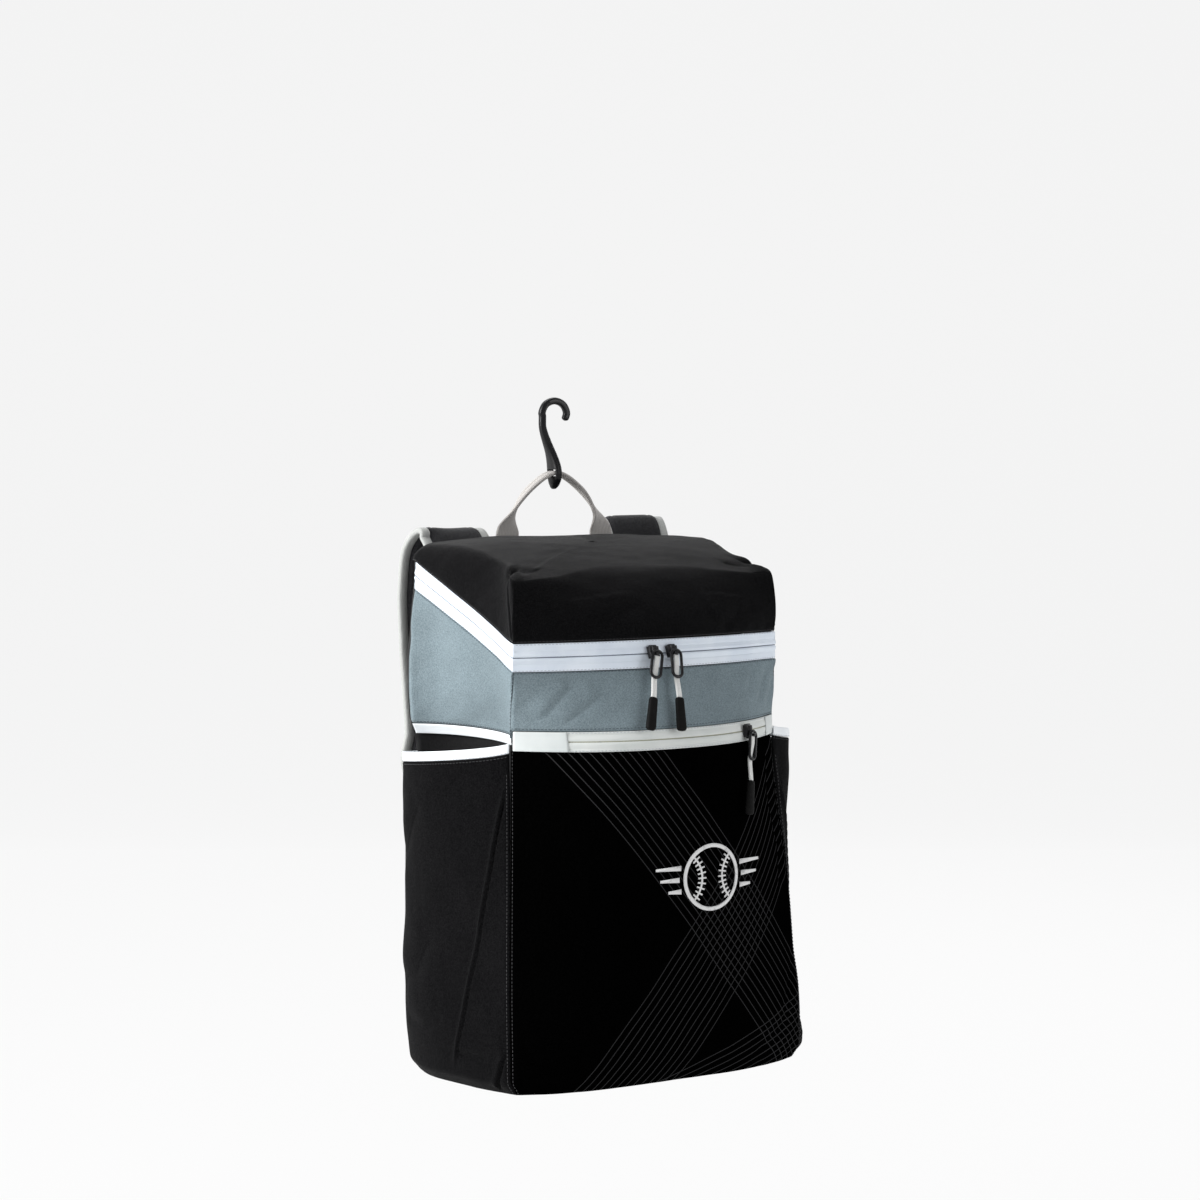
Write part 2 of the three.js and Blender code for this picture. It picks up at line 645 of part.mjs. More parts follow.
const eyeTop = apex + slotHeight / 2 + eyeHeight - slotHeight - 12;
const crookCentre = vector(0, handleY, eyeTop + hookShank - crookRadius);
const HOOK_SECTION_SIDES = 8;
function hookCrook() {
  const r = crookRadius;
  const c = crookCentre;
  const curve = smoothPath([
    vector(1, c.y, eyeTop - 8),
    vector(0.5, c.y, eyeTop + 4),
    vector(-0.42 * r, c.y, c.z - 1.3 * r),
    vector(-0.93 * r, c.y, c.z - 0.5 * r),
    vector(-0.98 * r, c.y, c.z + 0.15 * r),
    vector(-0.68 * r, c.y, c.z + 0.75 * r),
    vector(0, c.y, c.z + r),
    vector(0.68 * r, c.y, c.z + 0.75 * r),
    vector(0.98 * r, c.y, c.z + 0.15 * r),
    vector(0.8 * r, c.y, c.z - 0.38 * r),
  ]);
  const sections = range(0, 26).map((k) => {
    const t = k / 26;
    const centre = curve.getPoint(t);
    const tangent = curve.getTangent(t);
    const normal = new THREE.Vector3().crossVectors(tangent, vector(0, 1, 0)).normalize();
    const radius = (hookWire / 2) * mix(1.35, 0.92, clamp01(t * 2.2));
    return range(0, HOOK_SECTION_SIDES - 1).map((j) => {
      const angle = (2 * Math.PI * (j + 0.5)) / HOOK_SECTION_SIDES;
      return centre.clone().addScaledVector(normal, radius * Math.cos(angle))
        .add(vector(0, radius * Math.sin(angle), 0));
    });
  });
  return loft(sections);
}
function hookEye() {
  const foot = apex - slotHeight / 2 - 12;
  const outline = new THREE.Shape();
  const half = eyeDepth / 2;
  outline.moveTo(-0.12 * half, foot);
  outline.lineTo(0.12 * half, foot);
  outline.quadraticCurveTo(half, foot + 3, half, apex - 2);
  outline.lineTo(half, apex + 3);
  outline.quadraticCurveTo(0.75 * half, eyeTop - 4, 0.25 * half, eyeTop);
  outline.lineTo(-0.25 * half, eyeTop);
  outline.quadraticCurveTo(-0.75 * half, eyeTop - 4, -half, apex + 3);
  outline.lineTo(-half, apex - 2);
  outline.quadraticCurveTo(-half, foot + 3, -0.12 * half, foot);
  const slotHalf = handleFold.width / 2 + 0.8;
  const slot = new THREE.Path();
  slot.moveTo(-slotHalf, apex - slotHeight / 2);
  slot.lineTo(-slotHalf, apex + slotHeight / 2);
  slot.lineTo(slotHalf, apex + slotHeight / 2);
  slot.lineTo(slotHalf, apex - slotHeight / 2);
  outline.holes.push(slot);
  return new THREE.ExtrudeGeometry(outline, { depth: eyeWidth, bevelEnabled: false, curveSegments: 4 })
    .rotateX(Math.PI / 2).rotateZ(Math.PI / 2).translate(-eyeWidth / 2, handleY, 0);
}
const fenceHook = () => fromManifold(toManifold(hookCrook()).add(toManifold(hookEye())));

// Zip sliders and their pulls. Across is a share of the front's half width, roll the degrees that the pull
// swings aside.
const TOP_ZIP_PULLS = [
  { name: '1', across: -0.055, roll: 18 },
  { name: '2', across: 0.085, roll: 9 },
];
const TIP_ROWS = [
  { down: 0, size: 0.7 },
  { down: 0.12, size: 0.8 },
  { down: 0.45, size: 0.86 },
  { down: 0.86, size: 1 },
  { down: 1, size: 0.8 },
];
const POCKET_ZIP_PULL = { name: '3', across: 0.6, roll: 13 };
function frontAt(x, z) {
  const width = (section('width', z) * bodyWidth) / 2;
  const seamY = backPlane - section('depth', z) * bodyDepth;
  return vector(x, seamY - SHAPES.upper.front(z) * (1 - Math.abs(x / width) ** section('crown', z)), z);
}
const roundSection = (radius, sides) => new THREE.Shape(range(0, sides - 1).map((k) => {
  const angle = (2 * Math.PI * k) / sides;
  return new THREE.Vector2(radius * Math.cos(angle), radius * Math.sin(angle));
}));

const wireSection = (centre, across) => range(0, 7).map((k) => {
  const angle = ((k + 0.5) * Math.PI) / 4;
  return centre.clone().addScaledVector(across, (loopWire / 2) * Math.cos(angle))
    .add(vector(0, (loopWire / 2) * Math.sin(angle), 0));
});

// Each pull is laid out at its slider, outward along -Y, then turned square to the front there and leaned to
// lie on it.
function zipPull({ name, across, roll }, zipZ) {
  const seat = frontAt((across * section('width', zipZ) * bodyWidth) / 2, zipZ);
  const beside = frontAt(seat.x + 1, zipZ);
  const turn = Math.atan2(beside.y - seat.y, 1);
  const outward = vector(Math.sin(turn), -Math.cos(turn), 0);
  const pullLength = loopLength + pullCordLength + tipLength;
  const footOut = frontAt(seat.x, zipZ - pullLength).sub(seat).dot(outward);
  const lean = Math.atan2(footOut, pullLength);
  const standOff = (x, z) => {
    const offset = frontAt(x, z).sub(seat);
    return offset.dot(outward) * Math.cos(lean) + offset.z * Math.sin(lean);
  };
  const pull = new THREE.Group();
  pull.position.copy(seat);
  pull.rotation.set(-lean, 0, turn, 'ZXY');
  bag.add(pull);
  const loopTop = 1;
  const w = (loopWidth - loopWire) / 2;
  const hanging = new THREE.Group();
  hanging.rotation.y = THREE.MathUtils.degToRad(roll);
  const pivot = vector(0, 0, loopTop - loopWire / 2 - w);
  hanging.position.copy(pivot).sub(pivot.clone().applyEuler(hanging.rotation));
  pull.add(hanging);
  const addPiece = (group, piece, material, geometry) => {
    group.add(add(`${piece}_${name}`, material, geometry));
  };

  // Wire loop: an oval ring hanging in front of the slider
  const corners = [[-1, -1], [1, -1], [-1, 1], [1, 1]].map(([u, v]) => (
    standOff(seat.x + (u * sliderWidth) / 2, zipZ + (v * sliderHeight) / 2)));
  const sliderFront = -Math.max(...corners) - 2 * clearance - sliderDepth;
  const swell = Math.max(...range(2, 8).map((k) => standOff(seat.x, zipZ - (pullLength * k) / 8)));
  const loopY = Math.min(sliderFront - clearance - loopWire / 2, -swell - 1 - tipWidth / 3);
  const straight = (loopLength - loopWire) / 2 - w;
  const middle = loopTop - loopLength / 2;
  const bend = (from, shift) => range(0, 8).map((k) => {
    const angle = from + (Math.PI * k) / 8;
    const across = vector(Math.cos(angle), 0, Math.sin(angle));
    const centre = vector(0, loopY, middle + shift).addScaledVector(across, w);
    return wireSection(centre, across);
  });
  addPiece(hanging, 'pull_loop', 'metal', loft([...bend(0, straight), ...bend(Math.PI, -straight)], true));

  // Slider: its body on the tape and the bail that the loop hangs on
  const bailHeight = 2.6;
  const bailDepth = sliderFront - loopY + loopWire / 2 + 1;
  const body = new THREE.BoxGeometry(sliderWidth, sliderDepth, sliderHeight)
    .translate(0, sliderFront + sliderDepth / 2, 0);
  const bail = new THREE.BoxGeometry(loopWidth / 4, bailDepth + 1, bailHeight)
    .translate(0, sliderFront + 1 - (bailDepth + 1) / 2, loopTop - loopWire - 2 * clearance - bailHeight / 2);
  addPiece(pull, 'zip_slider', 'metal', fromManifold(toManifold(body).add(toManifold(bail))));

  // Cord from the loop's lower bend to the moulded tip
  const cordTop = loopTop - loopLength - clearance;
  const cordFoot = cordTop - pullCordLength;
  const cordPath = smoothPath([
    vector(0, loopY, cordTop),
    vector(0.4, loopY, mix(cordTop, cordFoot, 0.5)),
    vector(0, loopY, cordFoot),
  ]);
  addPiece(hanging, 'pull_cord', 'cord',
    new THREE.ExtrudeGeometry(roundSection(pullCord / 2, 8), { steps: 4, extrudePath: cordPath }));

  // Moulded tip, thicker toward its lower end
  const tip = TIP_ROWS.map(({ down, size }) => range(0, 7).map((k) => {
    const angle = ((k + 0.5) * Math.PI) / 4;
    return vector(
      (tipWidth / 2) * size * Math.cos(angle),
      loopY + (tipWidth / 3) * size * Math.sin(angle),
      cordFoot - 2 * clearance - down * tipLength,
    );
  }));
  addPiece(hanging, 'pull_tip', 'plastic', loft(tip));
}

add('base_panel', 'black', basePanel());
add('main_body', 'black', mainBody());
add('front_pocket', 'black', frontPocket());
add('pocket_zip', 'white', pocketZip());
add('grey_band', 'grey', greyBand());
add('top_zip_lower', 'white', lowerTape());
add('top_zip_upper', 'white', upperTape());
add('lid', 'black', lid());
for (const side of ['left', 'right']) {
  const sign = side === 'left' ? -1 : 1;
  add(`sleeve_${side}`, 'black', sleeve(side));
  add(`sleeve_binding_${side}`, 'white', sleeveBinding(side));
  add(`side_strip_${side}`, 'white', sideStrip(side));
  add(`strap_${side}`, 'mesh', strap(sign));
  add(`ladder_lock_${side}`, 'plastic', ladderLock(sign));
  add(`lower_webbing_${side}`, 'webbing', lowerWebbing(sign));
}
add('back_pad', 'mesh', backPad());
add('yoke', 'black', yoke());
add('handle', 'handle', handle());
add('fence_hook', 'plastic', fenceHook());
for (const pull of TOP_ZIP_PULLS) zipPull(pull, bandTop + topZipHeight / 2);
zipPull(POCKET_ZIP_PULL, pocketHeight + pocketZipHeight / 2);

// The inside of the crook becomes the origin
bag.position.set(0, -crookCentre.y, -(crookCentre.z + crookRadius - hookWire / 2));
const part = new THREE.Group();
part.add(bag);
part.updateMatrixWorld(true);

export default part;
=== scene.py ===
"""Bat backpack hanging from its fence hook: black and grey polyester, white zip tapes, padded straps."""

import math

import bmesh
import bpy
import numpy as np
from mathutils import Matrix, Vector


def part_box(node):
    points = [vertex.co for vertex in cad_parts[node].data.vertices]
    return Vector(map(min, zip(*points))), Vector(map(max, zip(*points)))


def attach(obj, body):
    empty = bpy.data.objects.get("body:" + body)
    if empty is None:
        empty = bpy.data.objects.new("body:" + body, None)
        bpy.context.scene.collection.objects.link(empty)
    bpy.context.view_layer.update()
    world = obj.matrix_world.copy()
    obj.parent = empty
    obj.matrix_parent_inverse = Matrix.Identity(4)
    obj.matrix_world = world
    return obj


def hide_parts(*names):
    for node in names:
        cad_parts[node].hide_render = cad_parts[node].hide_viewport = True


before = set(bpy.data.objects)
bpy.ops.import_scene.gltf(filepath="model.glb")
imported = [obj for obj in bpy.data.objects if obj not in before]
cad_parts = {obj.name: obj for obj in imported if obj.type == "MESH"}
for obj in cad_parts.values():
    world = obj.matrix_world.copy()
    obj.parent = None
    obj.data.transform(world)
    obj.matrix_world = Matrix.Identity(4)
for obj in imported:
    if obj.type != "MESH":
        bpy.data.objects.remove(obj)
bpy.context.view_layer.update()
scene = bpy.context.scene

# Sizes of the bag in millimetres, in its own layout: base at z 0, middle at x 0, front toward -Y
POCKET_HEIGHT = 288.0
POCKET_ZIP_HEIGHT = 17.0
BAND_HEIGHT = 50.0
TOP_ZIP_HEIGHT = 24.0
LID_RISE = 82.0
BODY_WIDTH = 294.0
BODY_DEPTH = 185.0
BACK_PLANE = 77.0
BACK_RADIUS = 20.0
FRONT_SWELL = 56.0
POCKET_DEPTH = 22.0
SLEEVE_SWELL = 32.0
BODY_WAIST = 22.0
ZIP_CLIMB = 0.48
MOUTH_DROP = 20.0
LID_SHOULDER = 19.0
LID_FRONT_FALL = 36.0
CLOTH = 2.0
CLEARANCE = 0.3
TAPE = 1.4
BINDING = 9.0
BAND_BOTTOM = POCKET_HEIGHT + POCKET_ZIP_HEIGHT
BAND_TOP = BAND_BOTTOM + BAND_HEIGHT
LID_FRONT_RIM = BAND_TOP + TOP_ZIP_HEIGHT
BAG_TOP = LID_FRONT_RIM + LID_RISE

# Where the layout sits in the frame, from the CAD base and back pad
LAYOUT = np.array([
    0.0,
    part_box("back_pad")[0].y - (BACK_PLANE + CLEARANCE) / 1000,
    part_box("base_panel")[0].z,
])

# Camera: at the photograph's viewing angle
CAMERA_PLACE = (-1.2284, -2.2107, 0.0040)
CAMERA_ANGLES = (85.885, 0.0, -30.0)
CAMERA_LENS = 83.4
camera_data = bpy.data.cameras.new("camera")
camera = bpy.data.objects.new("camera", camera_data)
camera.location = CAMERA_PLACE
camera.rotation_euler = [math.radians(a) for a in CAMERA_ANGLES]
camera_data.lens = CAMERA_LENS
camera_data.sensor_width = 36
camera_data.clip_end = 60
scene.collection.objects.link(camera)
scene.camera = camera


# Section table and the plan of the bag at each height
SECTION_COLUMNS = ("height", "width", "back", "depth", "swell", "crown", "pocket", "sleeve", "cheek", "waist")
SECTION_ROWS = np.array([
    (0.000, 0.955, 0.96, 0.990, 0.390, 4.0, 0.00, 0.80, 0.25, 0.50),
    (0.034, 0.997, 0.98, 1.000, 0.460, 3.6, 0.10, 0.90, 0.25, 0.80),
    (0.170, 0.993, 1.00, 0.989, 0.590, 3.0, 0.55, 0.94, 0.20, 1.00),
    (0.280, 0.976, 1.00, 0.962, 0.710, 2.8, 0.77, 0.95, 0.10, 1.00),
    (0.490, 0.952, 1.00, 0.932, 0.830, 2.5, 0.90, 0.95, 0.15, 1.00),
    (0.670, 0.915, 1.01, 0.881, 0.960, 2.4, 0.95, 0.93, 0.50, 1.00),
    (0.810, 0.898, 1.03, 0.854, 1.000, 2.4, 0.90, 0.89, 0.80, 0.90),
    (0.860, 0.898, 1.07, 0.859, 0.875, 2.3, 0.70, 0.87, 0.80, 0.80),
    (1.000, 0.898, 1.08, 0.881, 0.410, 2.1, 0.00, 0.87, 0.80, 0.45),
    (1.070, 0.895, 1.06, 0.886, 0.300, 2.0, 0.00, 0.87, 0.80, 0.30),
    (1.300, 0.885, 1.03, 0.886, 0.250, 2.0, 0.00, 0.87, 0.80, 0.10),
])
SECTIONS = {name: SECTION_ROWS[:, k] for k, name in enumerate(SECTION_COLUMNS)}


def monotone(keys, values, at):
    """A smooth curve through the values that never swings past them."""
    at = np.asarray(at, float)
    rise = np.diff(values) / np.diff(keys)
    slopes = np.zeros(len(keys))
    for k in range(1, len(keys) - 1):
        before, after = rise[k - 1], rise[k]
        slopes[k] = 0 if before * after <= 0 else 2 * before * after / (before + after)
    k = np.clip(np.searchsorted(keys, at, side="right") - 1, 0, len(keys) - 2)
    span = keys[k + 1] - keys[k]
    t = np.clip((at - keys[k]) / span, 0, 1)
    t2, t3 = t * t, t * t * t
    return ((2 * t3 - 3 * t2 + 1) * values[k] + (t3 - 2 * t2 + t) * span * slopes[k]
            + (3 * t2 - 2 * t3) * values[k + 1] + (t3 - t2) * span * slopes[k + 1])


def section(column, z):
    """A column of the section table at height z."""
    return monotone(SECTIONS["height"], SECTIONS[column], np.asarray(z, float) / BAND_TOP)


def mix(a, b, t):
    """The value a share t of the way from a to b."""
    return a + (b - a) * t


SHAPES = {
    "skin": (0.0, lambda z: section("sleeve", z) * SLEEVE_SWELL, lambda z: section("swell", z) * FRONT_SWELL),
    "upper": (0.0, lambda z: -section("waist", z) * BODY_WAIST, lambda z: section("swell", z) * FRONT_SWELL),
    "body": (CLOTH + CLEARANCE, lambda z: -section("waist", z) * BODY_WAIST,
             lambda z: section("swell", z) * FRONT_SWELL - section("pocket", z) * POCKET_DEPTH),
}

# Round the bag the ring coordinate runs from the middle of the back, 0, over the left corner, 1 to 2,
# the left side, 2 to 3, the front, 3 to 5, the right side, 5 to 6, and the right corner, 6 to 7, back to 8
SIDE_LEFT, SEAM_LEFT, SEAM_RIGHT = 2.0, 3.0, 5.0
SEAM_GAP = 0.002

# A side's curve from the back corner to the front seam: how far its two handles stand out, in shares of
# the swell, and how far along they lie, in shares of the side. A pair goes from a flat cheek to a full one
BACK_HANDLE_OUT, FRONT_HANDLE_OUT = 2.15, (0.85, 1.4)
BACK_HANDLE_ALONG, FRONT_HANDLE_ALONG = 0.2, (0.36, 0.12)


def ring_point(shape, s, z):
    """Points of the bag's plan outline at ring coordinates s and heights z."""
    s, z = np.broadcast_arrays(np.asarray(s, float), np.asarray(z, float))
    s = np.mod(s, 8.0)
    on_right = s > 4
    m = np.where(on_right, 8 - s, s)
    behind, side_of, front_of = SHAPES[shape]
    half_width = section("width", z) * BODY_WIDTH / 2
    seam_y = BACK_PLANE - section("depth", z) * BODY_DEPTH
    back_width = section("back", z) * BODY_WIDTH / 2
    back_y = BACK_PLANE + behind
    corner_y = back_y - BACK_RADIUS
    t = np.clip(m, 0, 1)
    back = (-(back_width - BACK_RADIUS) * t, back_y + 0 * t)
    angle = np.clip(m - 1, 0, 1) * math.pi / 2
    corner = (-(back_width - BACK_RADIUS) - BACK_RADIUS * np.sin(angle),
              corner_y + BACK_RADIUS * np.cos(angle))
    t = np.clip(m - 2, 0, 1)
    swell, cheek, length = side_of(z), section("cheek", z), corner_y - seam_y
    xs = (-back_width, -back_width - BACK_HANDLE_OUT * swell,
          -half_width - mix(*FRONT_HANDLE_OUT, cheek) * swell, -half_width)
    ys = (corner_y, corner_y - BACK_HANDLE_ALONG * length,
          seam_y + mix(*FRONT_HANDLE_ALONG, cheek) * length, seam_y)
    weights = ((1 - t) ** 3, 3 * t * (1 - t) ** 2, 3 * t * t * (1 - t), t ** 3)
    side = (sum(w * c for w, c in zip(weights, xs)), sum(w * c for w, c in zip(weights, ys)))
    across = 1 - np.clip(m - 3, 0, 1)
    front = (-half_width * across, seam_y - front_of(z) * (1 - across ** section("crown", z)))
    x = np.select([m < 1, m < 2, m < 3], [back[0], corner[0], side[0]], front[0])
    y = np.select([m < 1, m < 2, m < 3], [back[1], corner[1], side[1]], front[1])
    return np.stack([np.where(on_right, -x, x), y, z], axis=-1)


def bell(away, width):
    """1 at no distance away, falling smoothly to nothing past about twice the width."""
    return np.exp(-(away / width) ** 2)


def smooth_step(t):
    """A smooth rise from 0 to 1 as t goes from 0 to 1."""
    t = np.clip(t, 0, 1)
    return t * t * (3 - 2 * t)


def mirrored(s):
    """The ring coordinate of the same place on the left side."""
    return np.where(s > 4, 8 - s, s)


def climb(s):
    """How far the top zip has climbed toward the back at a station."""
    start = BACK_PLANE - section("depth", BAND_TOP) * BODY_DEPTH
    along = ring_point("upper", s, BAND_TOP + 0 * s)[..., 1] - start
    bend = 24.0
    return np.where(along <= 0, 0, np.where(
        along < bend, ZIP_CLIMB * along * along / (2 * bend), ZIP_CLIMB * (along - bend / 2)))


def zip_low(s):
    """Height of the top zip's lower edge."""
    return BAND_TOP + climb(s)


def zip_high(s):
    """Height of the top zip's upper edge."""
    return zip_low(s) + TOP_ZIP_HEIGHT


def zip_middle(s):
    """Height of the top zip's coil."""
    return zip_low(s) + TOP_ZIP_HEIGHT / 2


BACK_RIM = float(zip_high(np.array(SIDE_LEFT)))


def lid_rim(s):
    """Height of the lid's lower edge."""
    return np.where(mirrored(s) >= SIDE_LEFT, zip_high(s), BACK_RIM)


def mouth(s):
    """Height of a sleeve's mouth."""
    return BAND_BOTTOM - 10 - MOUTH_DROP * np.clip(3 - mirrored(s), 0, 1) ** 0.8


def binding_foot(s):
    """Height of the lower edge of a sleeve's binding."""
    return mouth(s) - BINDING


def band_foot(s):
    """Height of the grey band's lower edge."""
    return np.where(mirrored(s) >= SEAM_LEFT, BAND_BOTTOM, BAND_BOTTOM - 6)


# The bag's sides and the sign of x on each
SIDES = {"left": -1, "right": 1}


# Meshes
def to_frame(points):
    """Millimetres of the layout turned into metres of the frame."""
    return np.asarray(points, float) / 1000 + LAYOUT


def new_mesh(name, points, faces, material, uvs=None):
    """A piece from points in millimetres of the layout, riding on the root body."""
    mesh = bpy.data.meshes.new(name)
    mesh.from_pydata(to_frame(points).tolist(), [], faces)
    mesh.validate()
    if uvs is not None:
        layer = mesh.uv_layers.new(name="UVMap")
        loops = np.zeros(len(mesh.loops), int)
        mesh.loops.foreach_get("vertex_index", loops)
        layer.data.foreach_set("uv", np.asarray(uvs, float)[loops].ravel())
    mesh.polygons.foreach_set("use_smooth", [True] * len(mesh.polygons))
    mesh.update()
    piece = bpy.data.objects.new(name, mesh)
    scene.collection.objects.link(piece)
    mesh.materials.append(material)
    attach(piece, "root")
    return piece


def modified(piece, kind, **settings):
    """Adds a modifier with its settings."""
    modifier = piece.modifiers.new(kind.lower(), kind)
    for key, value in settings.items():
        setattr(modifier, key, value)


def normals_of(grid, closed):
    """Outward normals of a grid of points, rows up and columns round."""
    if closed:
        wide = np.concatenate([grid[:, -1:], grid, grid[:, :1]], axis=1)
        du = (wide[:, 2:] - wide[:, :-2]) / 2
    else:
        du = np.gradient(grid, axis=1)
    dv = np.gradient(grid, axis=0)
    return unit(np.cross(du, dv))


def arc(grid, axis):
    """Distance along the grid's lines from their first point."""
    steps = np.linalg.norm(np.diff(grid, axis=axis), axis=-1)
    shape = list(steps.shape)
    shape[axis] = 1
    return np.concatenate([np.zeros(shape), np.cumsum(steps, axis=axis)], axis=axis)


def distances(line):
    """Distance along a single line of points."""
    return np.concatenate([[0], np.cumsum(np.linalg.norm(np.diff(line, axis=0), axis=1))])


def placed(at, distance, values):
    """Values along a line, taken at given distances."""
    return np.stack([np.interp(at, distance, values[:, c]) for c in range(3)], axis=-1)


def unit(vectors):
    """Vectors brought to length 1."""
    return vectors / np.maximum(np.linalg.norm(vectors, axis=-1, keepdims=True), 1e-9)


def border_of(grid):
    """Distance of each point from the grid's first and last row."""
    up = arc(grid, 0)
    return np.minimum(up, up[-1:] - up)


def edged(count, length, edge=2.4):
    """Shares from 0 to 1, close together within a few millimetres of both ends."""
    rim = [0.0] + [edge * share / length for share in (0.1, 0.3, 0.6, 1.0)]
    inner = [t for t in np.linspace(0, 1, count + 1) if rim[-1] * 1.4 < t < 1 - rim[-1] * 1.4]
    return np.array(rim + inner + [1 - t for t in reversed(rim)])


def shell(name, grid, material, thickness=CLOTH, closed=False, lift=None, nodes=(), pole=False):
    """A closed cloth wall with rounded edges. The grid is its outer face, and lift moves it outward.

    With a pole, the last row closes to a point. Returns the outer face and the normals there.
    """
    normal = normals_of(grid, closed)
    if lift is not None:
        grid = grid + normal * lift[..., None]
        normal = normals_of(grid, closed)
    rows, columns = grid.shape[:2]
    across, up = arc(grid, 1), arc(grid, 0)
    border = up if pole else np.minimum(up, up[-1:] - up)
    if not closed:
        border = np.minimum(border, np.minimum(across, across[:, -1:] - across))
    reach = np.clip(border / (thickness * 0.7), 0, 1)
    drop = (1 - np.sqrt(1 - (1 - reach) ** 2))[..., None] * thickness / 2
    outer, inner = grid - normal * drop, grid - normal * (thickness - drop)
    index = np.arange(rows * columns).reshape(rows, columns)
    on_border = np.zeros((rows, columns), bool)
    on_border[0] = True
    on_border[-1] = not pole
    if not closed:
        on_border[:, [0, -1]] = True
    below = np.where(on_border, index, index + rows * columns)
    spans = columns if closed else columns - 1
    faces = []
    for i in range(rows - 1):
        for j in range(spans):
            k = (j + 1) % columns
            faces.append((index[i, j], index[i, k], index[i + 1, k], index[i + 1, j]))
            faces.append((below[i, j], below[i + 1, j], below[i + 1, k], below[i, k]))
    points = np.concatenate([outer.reshape(-1, 3), inner.reshape(-1, 3)])
    uv = np.stack([across, up], axis=-1).reshape(-1, 2) / 1000
    uvs = np.concatenate([uv, uv])
    if pole:
        top = len(points)
        points = np.concatenate([points, [outer[-1].mean(axis=0), inner[-1].mean(axis=0)]])
        uvs = np.concatenate([uvs, uv[-2:]])
        for j in range(spans):
            k = (j + 1) % columns
            faces += [(index[-1, j], index[-1, k], top), (below[-1, k], below[-1, j], top + 1)]
    used = sorted({int(v) for face in faces for v in face})
    renumber = {v: k for k, v in enumerate(used)}
    faces = [tuple(renumber[int(v)] for v in face) for face in faces]
    piece = new_mesh(name, points[used], faces, material, uvs[used])
    if nodes:
        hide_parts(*nodes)
    return outer, normal


def run_up(surface, distance, from_top=False, first=0.0, last=1.0):
    """A line round a wall at a distance from its lower or upper edge: its points and normals."""
    outer, normal = surface
    up = arc(outer, 0)
    at = up[-1] - distance if from_top else distance + 0 * up[-1]
    columns = range(int(first * (outer.shape[1] - 1)), int(last * (outer.shape[1] - 1)) + 1)

    def pick(values):
        return np.array([[np.interp(at[j], up[:, j], values[:, j, c]) for c in range(3)] for j in columns])

    return pick(outer), pick(normal)


def run_across(surface, distance, from_end=False, first=0.0, last=1.0):
    """A line up a wall at a distance from its first or last column: its points and normals."""
    turned = [values.transpose(1, 0, 2) for values in surface]
    return run_up(turned, distance, from_end, first, last)


def tube_faces(rings, sides, closed_path=False, caps=True):
    """Faces between rings of points, with a cap on each open end."""
    faces = []
    for i in range(rings if closed_path else rings - 1):
        a, b = i * sides, ((i + 1) % rings) * sides
        faces += [(a + j, a + (j + 1) % sides, b + (j + 1) % sides, b + j) for j in range(sides)]
    if caps and not closed_path:
        faces.append(tuple(reversed(range(sides))))
        faces.append(tuple((rings - 1) * sides + j for j in range(sides)))
    return faces


def spline(points, count):
    """Points along a centripetal curve through the given ones, the same count in each span."""
    points = np.asarray(points, float)
    n = len(points)
    out = []
    for share in np.linspace(0, 1, count + 1):
        p = share * (n - 1)
        k = min(int(p), n - 2)
        w = p - k
        p1, p2 = points[k], points[k + 1]
        p0 = points[k - 1] if k > 0 else 2 * p1 - p2
        p3 = points[k + 2] if k + 2 < n else 2 * p2 - p1
        d0, d1, d2 = (max(np.linalg.norm(b - a), 1e-9) ** 0.5 for a, b in ((p0, p1), (p1, p2), (p2, p3)))
        t1 = ((p1 - p0) / d0 - (p2 - p0) / (d0 + d1) + (p2 - p1) / d1) * d1
        t2 = ((p2 - p1) / d1 - (p3 - p1) / (d1 + d2) + (p3 - p2) / d2) * d1
        out.append(p1 + t1 * w + (-3 * p1 + 3 * p2 - 2 * t1 - t2) * w ** 2
                   + (2 * p1 - 2 * p2 + t1 + t2) * w ** 3)
    return np.array(out)


def sweep(path, section_at, side_at):
    """Cross-sections along a path: section_at(t) gives (across, out) pairs, side_at(t) the across way."""
    path = np.asarray(path, float)
    tangents = unit(np.gradient(path, axis=0))
    rings = []
    for k, (centre, tangent) in enumerate(zip(path, tangents)):
        t = k / (len(path) - 1)
        across = np.array(side_at(t), float)
        across -= tangent * across.dot(tangent)
        across /= np.linalg.norm(across)
        out = np.cross(tangent, across)
        rings.append([centre + across * u + out * v for u, v in section_at(t)])
    return np.array(rings)


def face_outward(piece):
    """Turns the faces of a closed mesh outward."""
    mesh = bmesh.new()
    mesh.from_mesh(piece.data)
    bmesh.ops.recalc_face_normals(mesh, faces=mesh.faces)
    mesh.to_mesh(piece.data)
    mesh.free()


def lofted(name, rings, material, nodes=(), caps=True, closed_path=False):
    """A piece through rows of closed cross-sections."""
    count, sides = rings.shape[:2]
    around = arc(rings, 1)
    along = arc(rings, 0)
    uvs = np.stack([around, along], axis=-1).reshape(-1, 2) / 1000
    faces = tube_faces(count, sides, closed_path, caps)
    piece = new_mesh(name, rings.reshape(-1, 3), faces, material, uvs)
    face_outward(piece)
    if nodes:
        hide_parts(*nodes)
    return piece


def superellipse(half_width, half_height, power, sides):
    """A rounded cross-section, squarer as the power grows."""
    angles = np.linspace(0, 2 * math.pi, sides, endpoint=False) + math.pi / sides
    c, s = np.cos(angles), np.sin(angles)
    return np.stack([half_width * np.sign(c) * np.abs(c) ** (2 / power),
                     half_height * np.sign(s) * np.abs(s) ** (2 / power)], axis=-1)


STITCH = {"pitch": 3.2, "length": 2.3, "width": 0.55, "height": 0.35}


